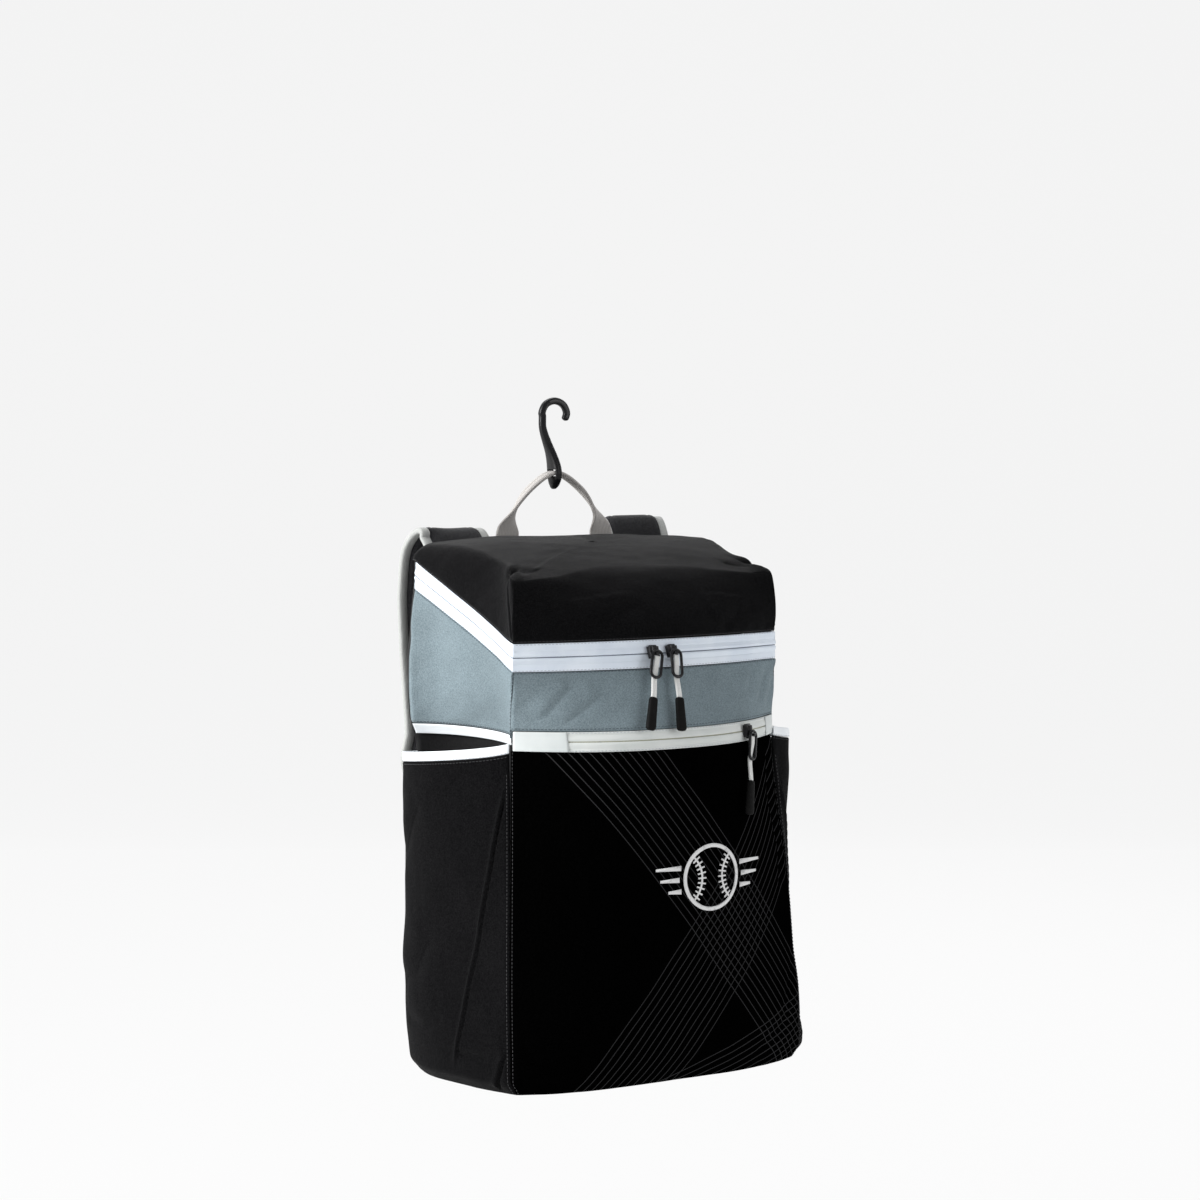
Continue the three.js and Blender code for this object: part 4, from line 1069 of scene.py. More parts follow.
def pocket():
    """The swelling front pocket, with creases beside the right seam and along the foot."""
    stations = front_stations(170)
    grid = wall_grid("skin", stations, 0.0, POCKET_HEIGHT - CLEARANCE, 150, POCKET_HEIGHT)
    x, z = grid[..., 0], grid[..., 2]
    lift = 0.8 * waves(x, z, 120, 11) + 0.4 * waves(x, z, 46, 12) + 0.12 * waves(x, z, 17, 13)
    lift += folds(x, z, POCKET_CREASES)
    lift -= 1.2 * bell(z - 12, 7)
    across = arc(grid, 1)
    edge = np.minimum(across, across[:, -1:] - across)
    border = np.minimum(edge, border_of(grid))
    lift *= smooth_step(edge / 14) * smooth_step((POCKET_HEIGHT - z) / 14)
    lift -= 0.9 * bell(border, 2.2)
    lift += 0.35 * bell(edge - 4.5, 1.6)
    surface = shell("pocket", grid, MATERIALS["pocket"], lift=lift, nodes=["front_pocket"])
    runs = [run_across(surface, 2.6, end) for end in (False, True)]
    stitches("pocket_stitches", runs, MATERIALS["dark_thread"])
    emblem(surface)


def pocket_zip():
    """The pocket zip's two tapes, stitched along their edges, with a tab on each end."""
    stations = mix(SEAM_LEFT + 0.014, SEAM_RIGHT - 0.014, np.linspace(0, 1, 150))
    middle = (POCKET_HEIGHT + BAND_BOTTOM) / 2
    halves = (("low", POCKET_HEIGHT, middle - 0.2), ("high", middle + 0.2, BAND_BOTTOM - CLEARANCE))
    for name, bottom, top in halves:
        grid = wall_grid("upper", stations, bottom, top, 18, 8.0, 1.0)
        inner_edge = top if name == "low" else bottom
        away = np.abs(grid[..., 2] - inner_edge)
        lift = 0.5 * bell(away - 2.2, 1.8) - 0.3 * bell(away - 5.4, 0.5)
        lift += 0.1 * waves(grid[..., 0], grid[..., 2], 30, 61)
        nodes = ["pocket_zip"] if name == "low" else []
        surface = shell(f"pocket_tape_{name}", grid, MATERIALS["pocket_tape"], TAPE, lift=lift,
                        nodes=nodes)
        stitches(f"pocket_tape_stitches_{name}", [run_up(surface, 1.3, name == "high")],
                 MATERIALS["pale_thread"])
    ends = (("left", SEAM_LEFT + 0.016, SEAM_LEFT + 0.30), ("right", SEAM_RIGHT - 0.13, SEAM_RIGHT - 0.016))
    for name, a, b in ends:
        grid = wall_grid("upper", np.linspace(a, b, 40), POCKET_HEIGHT + 0.2, BAND_BOTTOM - 0.4, 16, 16.0,
                         1.0, 1.1)
        shell(f"pocket_tab_{name}", grid, MATERIALS["tab"], 0.9,
              lift=0.15 * waves(grid[..., 0], grid[..., 2], 20, 62))


# Sewn and pressed lines of a sleeve: points in millimetres from the front seam and from the base, then the
# groove's width and depth and the height of the lip beside it
PLEATS = (
    ([(1, 266), (14, 205), (33, 120), (60, 8)], 0.9, 2.0, 2.2),
    ([(3, 34), (30, 30), (58, 31)], 4.0, 1.5, 1.0),
    ([(3, 38), (14, 3)], 1.6, 2.2, 1.6),
    ([(84, 128), (106, 92), (140, 78)], 8.0, 1.5, 1.0),
    ([(92, 240), (124, 196), (150, 184)], 8.0, 1.4, 1.0),
    ([(70, 60), (96, 46), (130, 50)], 7.0, 1.3, 0.9),
)


# How far the right sleeve's mouth bulges near the front
MOUTH_BULGE = 9.0


def sleeves():
    """Side sleeves: the cloth with its sewn pleat and darts, the bound rim and the tape above."""
    for side in SIDES:
        stations = side_stations(side, 120)
        grid = wall_grid("skin", stations, 0.0, lambda s: binding_foot(s) - CLEARANCE, 150, 262.0)
        z = grid[..., 2]
        along, up = arc(grid, 1), arc(grid, 0)
        u = along if side == "right" else along[:, -1:] - along
        lift = 0.9 * waves(u, z, 110, 21) + 0.5 * waves(u, z, 42, 22) + 0.12 * waves(u, z, 16, 23)
        turn = -SIDES[side]
        turned = [([(turn * a, b) for a, b in line], *sizes) for line, *sizes in PLEATS]
        lift += folds(turn * u, z, turned)
        back = along if side == "left" else along[:, -1:] - along
        edge = np.minimum(u, back)
        border = np.minimum(edge, up)
        lift *= smooth_step(edge / 7) * smooth_step((up[-1:] - up) / 18)
        lift -= 0.9 * bell(border, 2.2)
        if side == "right":
            lift += MOUTH_BULGE * bell(u - 26, 20) * smooth_step((z - 170) / 90)
        surface = shell(f"sleeve_cloth_{side}", grid, MATERIALS["side"], lift=lift,
                        nodes=[f"sleeve_{side}"])
        rim = wall_grid("skin", stations, binding_foot, mouth, 14, BINDING, 1.2)
        bulge = 0.5 * np.sin(np.linspace(0, math.pi, rim.shape[0]))[:, None] + 0 * rim[..., 0]
        bulge += 0.15 * waves(along[0] + 0 * bulge, rim[..., 2], 16, 24)
        if side == "right":
            bulge += MOUTH_BULGE * bell(u[-1] - 26, 20)
        bound = shell(f"sleeve_rim_{side}", rim, MATERIALS["binding"], lift=bulge,
                      nodes=[f"sleeve_binding_{side}"])
        stitches(f"sleeve_rim_stitches_{side}", [run_up(bound, 1.5)], MATERIALS["pale_thread"])
        strip = wall_grid("upper", stations, lambda s: np.maximum(BAND_BOTTOM - 15, mouth(s) + 2 * CLEARANCE),
                          lambda s: band_foot(np.full_like(s, 2.5)) - CLEARANCE, 8, 9.0, 1.0)
        shell(f"side_tape_{side}", strip, MATERIALS["binding"], TAPE,
              nodes=[f"side_strip_{side}"])
        runs = [run_up(surface, 2.4, True), run_across(surface, 3.0, side == "left", 0.0, 0.93)]
        stitches(f"sleeve_stitches_{side}", runs, MATERIALS["dark_thread"])


# Creases of the grey band in the layout's x and z
BAND_CREASES = [(ends, 3.0, 0.9, 1.1) for ends in (
    ((118, 312), (131, 346)), ((104, 316), (120, 350)), ((92, 330), (100, 350)),
    ((-112, 314), (-84, 344)), ((-96, 310), (-60, 336)),
)]


def band():
    """The grey band: a sewn corner over each front seam and soft diagonal creases."""
    stations = wrap_stations()
    grid = wall_grid("upper", stations, band_foot, lambda s: zip_low(s) - CLEARANCE, 40, 55.0, 1.6)
    x, y, z = grid[..., 0], grid[..., 1], grid[..., 2]
    side = smooth_step((3.0 - mirrored(stations)) / 0.2)[None, :]
    lift = 0.5 * waves(x + y, z, 60, 31) + 0.3 * waves(x - y, z, 22, 32)
    lift += 1.6 * side * waves(y, z, 60, 33)
    front = y < float(BACK_PLANE - section("depth", BAND_TOP) * BODY_DEPTH) + 2
    lift += folds(x, z, BAND_CREASES) * front
    border = border_of(grid)
    lift *= smooth_step(border / 8)
    lift += seam_groove(grid, stations, 1.2, 1.0)
    lift -= 0.5 * bell(border, 1.6)
    surface = shell("band", grid, MATERIALS["grey"], lift=lift, nodes=["grey_band"])
    runs = [run_up(surface, 2.6), run_up(surface, 1.6, True)]
    for seam, step in ((SEAM_LEFT, -1), (SEAM_RIGHT, 1)):
        picked = nearest(stations, seam) + 2 * step
        runs.append([values[1:-1, picked] for values in surface])
    stitches("band_stitches", runs, MATERIALS["grey_thread"])


def top_zip():
    """The top zip's two tapes, which climb along the sides."""
    stations = wrap_stations()
    halves = (("lower", zip_low, lambda s: zip_middle(s) - CLEARANCE),
              ("upper", zip_middle, lambda s: zip_high(s) - CLEARANCE))
    for name, bottom, top in halves:
        grid = wall_grid("upper", stations, bottom, top, 20, 12.0, 1.0)
        up = arc(grid, 0)
        inner = up[-1:] - up if name == "lower" else up
        lift = 0.7 * bell(inner - 2.0, 1.5) - 0.4 * bell(inner - 5.6, 0.5)
        lift += 0.15 * waves(grid[..., 0] + grid[..., 1], grid[..., 2], 34, 41)
        surface = shell(f"top_tape_{name}", grid, MATERIALS["tape"], TAPE, lift=lift,
                        nodes=[f"top_zip_{name}"])
        stitches(f"top_tape_stitches_{name}", [run_up(surface, 1.2, name == "upper")],
                 MATERIALS["pale_thread"])


def coil(name, stations, level, material):
    """The zip's coil seen between the tapes: a row of fine rounded turns."""
    line = ring_grid("upper", stations, [level], -0.55)[0]
    distance = distances(line)
    centre = placed(np.arange(1, distance[-1] - 1, 1.3), distance, line)
    tangent = unit(np.gradient(centre, axis=0))
    up = np.array([0.0, 0.0, 1.0])
    points, faces = [], []
    for c, t in zip(centre, tangent):
        out = np.cross(t, up)
        out /= np.linalg.norm(out)
        base = len(points)
        for a in range(6):
            angle = a * math.pi / 3
            v = up * math.cos(angle) * 0.75 + out * math.sin(angle) * 0.5
            points += [c + v - t * 0.45, c + v + t * 0.45]
        faces += [(base + 2 * a, base + 2 * a + 1, base + (2 * a + 3) % 12, base + (2 * a + 2) % 12)
                  for a in range(6)]
        faces += [tuple(base + 2 * a for a in reversed(range(6))), tuple(base + 2 * a + 1 for a in range(6))]
    new_mesh(name, np.array(points), faces, material)


# Lid
LID_CENTRE_Y, LID_LEVEL, LID_SAG = 6.0, 30.0, 5.0
# Round each front corner the lid is boxier: its shoulder is tighter and its wall puffs out
LID_CORNER, LID_CORNER_SHOULDER, LID_CORNER_PUFF = 2.92, 10.0, 9.5


# The lid's front edge is rounder between its corners than along its sides
LID_FRONT_SHOULDER = 38.0


def lid_grid(stations, rise_rows, top_rows):
    """The lid's outer face: rows up its shoulder, then in to the middle of its top."""
    front = BACK_PLANE - float(section("depth", LID_FRONT_RIM)) * BODY_DEPTH \
        - float(section("swell", LID_FRONT_RIM)) * FRONT_SWELL
    rim = ring_point("upper", stations, lid_rim(stations))
    distance = np.hypot(rim[:, 0], rim[:, 1] - LID_CENTRE_Y)
    corner = bell(mirrored(stations) - LID_CORNER, 0.13)
    on_front = smooth_step((mirrored(stations) - LID_CORNER - 0.12) / 0.5)
    shoulder = mix(mix(LID_SHOULDER, LID_FRONT_SHOULDER, on_front), LID_CORNER_SHOULDER, corner)

    def row(inward, rise, puff):
        share = inward / distance
        x = mix(rim[:, 0], 0.0, share)
        y = mix(rim[:, 1], LID_CENTRE_Y, share)
        sag = LID_SAG * (np.abs(x) / (BODY_WIDTH / 2)) ** 2
        along = np.clip((y - front) / (BACK_PLANE - LID_LEVEL - front), 0, 1)
        top = BAG_TOP - LID_FRONT_FALL * (1 - along) ** 1.9 - sag
        outward = np.stack([rim[:, 0], rim[:, 1] - LID_CENTRE_Y], axis=-1) / distance[:, None]
        x, y = x + outward[:, 0] * puff, y + outward[:, 1] * puff
        return np.stack([x, y, mix(rim[:, 2], top, rise)], axis=-1)

    rows = []
    for angle in np.linspace(0, math.pi / 2, rise_rows):
        puff = corner * LID_CORNER_PUFF * math.sin(angle) ** 1.5 * smooth_step(1.25 - 0.25 * angle)
        rows.append(row(shoulder * (1 - math.cos(angle)), math.sin(angle), puff))
    for t in np.linspace(0, 0.985, top_rows)[1:]:
        puff = corner * LID_CORNER_PUFF * max(0.0, 1 - 5 * t) ** 2
        rows.append(row(mix(shoulder, distance, t), 1.0, puff))
    return np.array(rows)


# Soft creases of the lid's front in x and z, and the sewn corner seam and the fold above its tuck,
# in distances from the corner and up from the rim
LID_CREASES = (
    ([(-60, 384), (-40, 402), (-8, 412)], 9, 1.1, 0.9),
    ([(66, 384), (88, 400), (108, 404)], 8, 1.2, 1.1),
)
LID_CORNER_FOLDS = (
    ([(0, 0), (-3, 12), (-9, 28), (-16, 46), (-20, 58)], 1.2, 2.0, 0.9),
    ([(-20, 60), (-12, 76), (6, 92)], 4.0, 1.4, 0.9),
)


def lid():
    """The soft lid: a sewn seam climbs each front corner to a deep tuck, and the top is slightly slack."""
    half = spread((0, 2, 26), (2, 2.74, 30), (2.74, 3.12, 52), (3.12, 4, 46))
    stations = np.concatenate([half, [4.0], 8 - half[1:][::-1]])
    grid = lid_grid(stations, 40, 44)
    x, y, z = grid[..., 0], grid[..., 1], grid[..., 2]
    up = arc(grid, 0)
    lift = 1.1 * waves(x, y + z, 150, 51) + 0.6 * waves(x, y + z, 60, 52) + 0.2 * waves(x, y + z, 24, 53)
    across = arc(grid, 1)
    for corner, turn in ((SEAM_LEFT, 1), (SEAM_RIGHT, -1)):
        k = nearest(stations, corner)
        u = turn * (across - across[:, k:k + 1])
        lift += folds(u, up, LID_CORNER_FOLDS) * (np.abs(u) < 60)
        tuck = np.hypot((u + 20) / 6.0, (up - 60) / 9.0)
        lift -= 6.0 * bell(tuck, 1.0)
        lift += 2.8 * bell(np.hypot(u + 8, up - 64), 10)
        lift += 2.4 * bell(np.hypot(u + 34, up - 58), 10)
    on_front = y < -90
    lift += folds(x, z, LID_CREASES) * on_front
    pucker = np.sin(across * 2 * math.pi / 17 + 1.2 * np.sin(across / 23))
    lift += 0.35 * pucker * bell(up, 9)
    lift *= smooth_step(up / 7 + 0.12)
    lift -= 0.6 * bell(up, 1.8)
    surface = shell("lid_cloth", grid, MATERIALS["black"], closed=True, lift=lift,
                    nodes=["lid"], pole=True)
    stitches("lid_stitches", [run_up(surface, 1.6)], MATERIALS["dark_thread"])


# Emblem on the pocket: a ball with two seams between two sets of stripes
EMBLEM_X, EMBLEM_Z, EMBLEM_RADIUS, EMBLEM_RIM = 32.0, 176.0, 29.0, 3.4
# The ball's seams, in shares of its radius: how far aside their circle's middle lies, the circle's size and
# the two ends of each stitch
SEAM_ASIDE, SEAM_SIZE, SEAM_TICKS = 1.22, 0.86, (0.72, 1.0)
STRIPES, STRIPE_STEP, STRIPE_GAP, STRIPE_HALF = (25.0, 19.0, 13.0), 10.0, 4.0, 2.2


def on_surface(surface, x, z):
    """The outer face's y at x and z, and its normal, by interpolation in a wall seen from the front."""
    outer, normal = surface
    level = outer[:, outer.shape[1] // 2, 2]
    i = int(np.clip(np.searchsorted(level, z) - 1, 0, len(level) - 2))
    share = (z - level[i]) / (level[i + 1] - level[i])
    rows = []
    for row in (i, i + 1):
        rows.append([np.interp(x, outer[row, :, 0], outer[row, :, 1])]
                    + [np.interp(x, outer[row, :, 0], normal[row, :, c]) for c in range(3)])
    y, *n = mix(np.array(rows[0]), np.array(rows[1]), share)
    return np.array([x, y, z]), np.array(n)


def printed(name, surface, outlines, material, raise_by=0.28):
    """A flat print on a wall: quads between pairs of border points, a little proud of the cloth."""
    points, faces = [], []
    for left, right in outlines:
        base = len(points)
        for a, b in zip(left, right):
            for share in (0.0, 0.5, 1.0):
                place, normal = on_surface(surface, mix(a[0], b[0], share), mix(a[1], b[1], share))
                points.append(place + normal / np.linalg.norm(normal) * raise_by)
        for k in range(len(left) - 1):
            for j in (0, 1):
                q = base + 3 * k + j
                faces.append((q, q + 1, q + 4, q + 3))
    piece = new_mesh(name, np.array(points), faces, material)
    modified(piece, "SOLIDIFY", thickness=0.0004, offset=0.0)


def emblem(surface):
    """The ball's ring, its two stitched seams and the stripes beside it."""
    angles = np.linspace(0, 2 * math.pi, 97)
    circle = np.stack([np.cos(angles), np.sin(angles)], axis=-1)
    centre = np.array([EMBLEM_X, EMBLEM_Z])
    r = EMBLEM_RADIUS
    outlines = [(centre + circle * r, centre + circle * (r - EMBLEM_RIM))]
    for turn in (-1, 1):
        bend = np.radians(np.linspace(-46, 46, 40))
        arc_at = centre + np.array([turn * r * SEAM_ASIDE, 0])
        line = np.stack([-turn * np.cos(bend), np.sin(bend)], axis=-1) * r * SEAM_SIZE
        outlines.append((arc_at + line * 1.035, arc_at + line * 0.965))
        for angle in np.radians(np.linspace(-40, 40, 9)):
            out = np.array([-turn * math.cos(angle), math.sin(angle)])
            side = np.array([-out[1], out[0]]) * 0.7
            start, end = (arc_at + out * r * share for share in SEAM_TICKS)
            outlines.append((np.array([start - side, end - side]), np.array([start + side, end + side])))
        for k, length in enumerate(STRIPES):
            z = EMBLEM_Z + STRIPE_STEP * (1 - k)
            near = EMBLEM_X + turn * (math.sqrt(r * r - (z - EMBLEM_Z) ** 2) + STRIPE_GAP)
            far = near + turn * length
            edges = [np.array([(near, z + v), (far, z + v * 0.5)]) for v in (STRIPE_HALF, -STRIPE_HALF)]
            outlines.append((edges[0], edges[1]))
    printed("emblem", surface, outlines, MATERIALS["white_print"])


# Back: padded panel, yoke, straps, locks and webbing
PAD_THICKNESS, PAD_WIDTH, YOKE_WIDTH, YOKE_HEIGHT = 7.5, 214.0, 250.0, 20.0
STRAP_WIDTH, STRAP_THICKNESS, STRAP_SPREAD, STRAP_OUT = 68.0, 12.0, 93.0, 29.0
WEBBING, WEBBING_THICKNESS = 25.0, 2.0
LOCK_WIDTH, LOCK_HEIGHT, LOCK_BAR, LOCK_DEPTH, TAIL = 32.0, 30.0, 5.0, 4.0, 70.0
ANCHOR_HEIGHT = 48.0
PAD_FRONT = BACK_PLANE + CLEARANCE
PAD_BACK = PAD_FRONT + PAD_THICKNESS
YOKE_FOOT = BACK_RIM - YOKE_HEIGHT - 4
PAD_FOOT, PAD_TOP = ANCHOR_HEIGHT + 26, YOKE_FOOT - 3
YOKE_FRONT = BACK_PLANE + WEBBING_THICKNESS + 2 * CLEARANCE
YOKE_BACK = YOKE_FRONT + CLOTH


def rounded_distance(x, z, half, bottom, top, radius):
    """How far a point lies inside a rounded rectangle's edge."""
    dx = np.abs(x) - (half - radius)
    middle, tall = (bottom + top) / 2, (top - bottom) / 2
    dz = np.abs(z - middle) - (tall - radius)
    outside = np.hypot(np.maximum(dx, 0), np.maximum(dz, 0))
    return radius - outside - np.minimum(np.maximum(dx, dz), 0)


def plate(name, half, bottom, top, radius, front, thickness, material, nodes, relief=None, roll=3.0):
    """A rounded plate against the back, made of rings that follow its outline inward."""
    corners = []
    for cx, cz, start in ((half - radius, bottom + radius, -90), (half - radius, top - radius, 0),
                          (-half + radius, top - radius, 90), (-half + radius, bottom + radius, 180)):
        corners += [(cx, cz, math.radians(start + 90 * k / 12)) for k in range(13)]
    outline = []
    for (cx, cz, a), (dx, dz, b) in zip(corners, corners[1:] + corners[:1]):
        p = np.array([cx + radius * math.cos(a), cz + radius * math.sin(a)])
        q = np.array([dx + radius * math.cos(b), dz + radius * math.sin(b)])
        steps = max(1, int(np.linalg.norm(q - p) / 3.5))
        outline += [p + (q - p) * k / steps for k in range(steps)]
    outline = np.array(outline)
    middle, tall = (bottom + top) / 2, (top - bottom) / 2
    arm, rise = max(half - tall, 0), max(tall - half, 0)
    spine = np.stack([np.clip(outline[:, 0], -arm, arm),
                      np.clip(outline[:, 1], middle - rise, middle + rise)], axis=-1)
    reach = np.linalg.norm(outline - spine, axis=1)
    rings = []
    for face in ("front", "back"):
        insets = [0.0, 0.3, 0.9, 1.8, roll, roll * 1.8]
        shares = [d / reach for d in insets] + [np.full(len(reach), t) for t in np.linspace(0.1, 1.0, 30)]
        rows = []
        for share in shares:
            share = np.minimum(share, 1.0)[:, None]
            xz = outline + (spine - outline) * share
            depth = rounded_distance(xz[:, 0], xz[:, 1], half, bottom, top, radius)
            edge = thickness / 2 * (1 - np.sqrt(1 - (1 - np.clip(depth / roll, 0, 1)) ** 2))
            if face == "front":
                y = front + edge
            else:
                y = front + thickness - edge + (relief(xz[:, 0], xz[:, 1], depth) if relief else 0)
            rows.append(np.stack([xz[:, 0], y, xz[:, 1]], axis=-1))
        rings.append(rows)
    ordered = rings[0][::-1] + rings[1][1:]
    piece = lofted(name, np.array(ordered), material, nodes)
    layer = piece.data.uv_layers[0]
    points = np.array(ordered).reshape(-1, 3)
    loops = np.zeros(len(piece.data.loops), int)
    piece.data.loops.foreach_get("vertex_index", loops)
    layer.data.foreach_set("uv", (points[loops][:, [0, 2]] / 1000).ravel())
    return piece


# Quilted channels of the back pad, lines in the layout's x and z
QUILT = (
    [(-58, 78), (-58, 330)], [(58, 78), (58, 330)],
    [(-58, 130), (58, 130)], [(-58, 190), (58, 190)], [(-58, 250), (58, 250)], [(-58, 306), (58, 306)],
)


def back_pad():
    """The padded back panel with its quilted channels."""
    def relief(x, z, depth):
        return -1.6 * bell(depth - 7, 1.6) + sum(fold(x, z, line, 3.0, 2.6) for line in QUILT)

    pad = plate("pad", PAD_WIDTH / 2, PAD_FOOT, PAD_TOP, 26, PAD_FRONT, PAD_THICKNESS, MATERIALS["mesh"],
                ["back_pad"], relief, 5.0)
    runs = []
    for line in QUILT:
        a, b = np.array(line, float)
        path = np.linspace(a, b, 60)
        points = np.stack([path[:, 0], np.full(60, PAD_BACK - 2.4), path[:, 1]], axis=-1)
        runs.append((points, np.tile([0.0, 1.0, 0.0], (60, 1))))
    stitches("pad_stitches", runs, MATERIALS["dark_thread"])


def yoke():
    """The cloth strip that holds the straps, with two rows of stitches."""
    plate("yoke_cloth", YOKE_WIDTH / 2, YOKE_FOOT, BACK_RIM - 2, 6, YOKE_FRONT, CLOTH, MATERIALS["black"],
          ["yoke"], None, 1.4)
    runs = []
    for z in (YOKE_FOOT + 4, BACK_RIM - 6):
        x = np.linspace(-YOKE_WIDTH / 2 + 8, YOKE_WIDTH / 2 - 8, 60)
        runs.append((np.stack([x, 0 * x + YOKE_BACK, 0 * x + z], axis=-1), np.tile([0.0, 1.0, 0.0], (60, 1))))
    stitches("yoke_stitches", runs, MATERIALS["dark_thread"])


# Rows of the strap: share of the length, then shares of spread, distance out, bag height, width and thickness
STRAP_COLUMNS = ("along", "across", "out", "height", "width", "thick")
STRAP_ROWS = np.array([
    (0 / 9, 1.00, 0.00, 0.930, 0.94, 0.40),
    (1 / 9, 1.00, 0.05, 0.975, 0.98, 0.50),
    (2 / 9, 1.00, 0.50, 1.005, 1.00, 0.75),
    (3 / 9, 1.00, 0.95, 0.975, 1.00, 0.95),
    (4 / 9, 1.00, 1.05, 0.900, 1.00, 1.00),
    (5 / 9, 1.00, 1.05, 0.790, 0.97, 1.00),
    (6 / 9, 1.05, 0.95, 0.690, 0.87, 1.00),
    (7 / 9, 1.16, 0.86, 0.610, 0.70, 0.95),
    (8 / 9, 1.32, 0.80, 0.560, 0.52, 0.80),
    (9 / 9, 1.32, 0.80, 0.530, 0.44, 0.60),
])
STRAP = {name: STRAP_ROWS[:, k] for k, name in enumerate(STRAP_COLUMNS)}


def strap_column(name, t):
    """A column of the strap table at a share of the strap's length."""
    return float(monotone(STRAP["along"], STRAP[name], t))


# The left strap swings out a little past its arch, and the right one stands higher there
STRAP_SWING = (0.0, 0.0, 0.02, 0.08, 0.12, 0.12, 0.09, 0.04, 0.0, 0.0)
STRAP_LIFT = (0.0, 3.0, 8.0, 5.0, 0.0, 0.0, 0.0, 0.0, 0.0, 0.0)


def strap_point(row, sign, k=None):
    """A row of the strap table as a point of the layout."""
    _, across, out, height, _, thick = row
    height *= BAG_TOP
    if k is not None and sign < 0:
        across += STRAP_SWING[k]
    if k is not None and sign > 0:
        height += STRAP_LIFT[k]
    middle = YOKE_BACK + CLEARANCE + thick * STRAP_THICKNESS / 2
    return (sign * across * STRAP_SPREAD, middle + out * STRAP_OUT, height)


STRAP_EDGE = 4.6


def binding_outline(t):
    """Cross-section of the binding folded over a strap's edge."""
    thick = strap_column("thick", t) * STRAP_THICKNESS / 2 * 0.42
    angles = np.linspace(0, 2 * math.pi, 16, endpoint=False)
    c, s = np.cos(angles), np.sin(angles)
    return np.stack([STRAP_EDGE * np.sign(c) * np.abs(c) ** 0.6,
                     (thick + 0.9) * np.sign(s) * np.abs(s) ** 0.7], axis=-1)


def strap(side):
    """A padded strap: swelling between its bound edges, with two lines of stitching."""
    sign = SIDES[side]
    path = spline([strap_point(row, sign, k) for k, row in enumerate(STRAP_ROWS)], 150)

    def outline(t):
        half = strap_column("width", t) * STRAP_WIDTH / 2
        thick = strap_column("thick", t) * STRAP_THICKNESS / 2
        across = np.concatenate([np.linspace(-1, 1, 33), np.linspace(1, -1, 33)[1:-1]])
        top = np.concatenate([np.ones(33), -np.ones(31)])
        inset = np.clip((1 - np.abs(across)) * half, 0, None)
        padded = np.clip((inset - 2 * STRAP_EDGE + 1.4) / 8.0, 0, 1)
        pillow = np.sqrt(np.clip(1 - (1 - padded) ** 2, 0, 1))
        height = thick * (0.34 + 0.66 * pillow)
        channel = 0.14 * thick * bell(inset - 15.0, 1.5)
        rim = np.sqrt(np.clip(inset / 1.2, 0, 1))
        ends = 0.55 + 0.45 * smooth_step(min(t, 1 - t) * 22)
        return np.stack([across * half, top * (height * ends - channel) * rim], axis=-1)

    rings = sweep(path, outline, lambda t: (1, 0, 0))
    body = lofted(f"strap_pad_{side}", rings, MATERIALS["strap"], [f"strap_{side}"])
    left, right = rings[1:-1, 0], rings[1:-1, 32]
    inward = unit(right - left) * (STRAP_EDGE - 0.4)
    for edge, edge_path in (("left", left + inward), ("right", right - inward)):
        edge_rings = sweep(edge_path, binding_outline, lambda t: (1, 0, 0))
        lofted(f"strap_edge_{side}_{edge}", edge_rings, MATERIALS["strap_edge"])
    runs = []
    for face in (9, 23):
        across = rings[6:-6, face]
        normal = unit(np.cross(np.gradient(across, axis=0), rings[6:-6, 20] - rings[6:-6, 12]))
        outward = np.where((normal * (across - path[6:-6])).sum(axis=1, keepdims=True) < 0, -1, 1)
        runs.append((across, normal * outward))
    stitches(f"strap_stitches_{side}", runs, MATERIALS["dark_thread"])


LOCK_X = STRAP_ROWS[-1, 1] * STRAP_SPREAD
LOCK_Y = strap_point(STRAP_ROWS[-1], 1)[1]
LOCK_TOP = STRAP_ROWS[-1, 3] * BAG_TOP - 2 * CLEARANCE


def ladder_lock(side):
    """A moulded frame of two side rails and three bars."""
    sign = SIDES[side]
    cx = sign * LOCK_X
    half, slot_half = LOCK_WIDTH / 2, WEBBING / 2 + 1
    slot = (LOCK_HEIGHT - 3 * LOCK_BAR) / 2
    rail = half - slot_half
    middle = LOCK_TOP - LOCK_HEIGHT / 2
    boxes = [joined_box((cx + edge * (half - rail / 2), LOCK_Y, middle), (rail, LOCK_DEPTH, LOCK_HEIGHT))
             for edge in (-1, 1)]
    boxes += [joined_box((cx, LOCK_Y, middle + step * (LOCK_BAR + slot)),
                         (LOCK_WIDTH - 0.5, LOCK_DEPTH - 0.4, LOCK_BAR)) for step in (1, 0, -1)]
    fused(f"lock_{side}", boxes, MATERIALS["plastic"], f"ladder_lock_{side}", 0.0006, 5)


def flat_band(width, thickness, sides=18):
    """A webbing cross-section: flat with rounded edges."""
    across = np.concatenate([np.linspace(-1, 1, sides), np.linspace(1, -1, sides)[1:-1]])
    top = np.concatenate([np.ones(sides), -np.ones(sides - 2)])
    inset = (1 - np.abs(across)) * width / 2
    rim = np.sqrt(np.clip(1 - (1 - np.clip(inset / (thickness * 0.6), 0, 1)) ** 2, 0, 1))
    return np.stack([across * width / 2, top * thickness / 2 * rim], axis=-1)


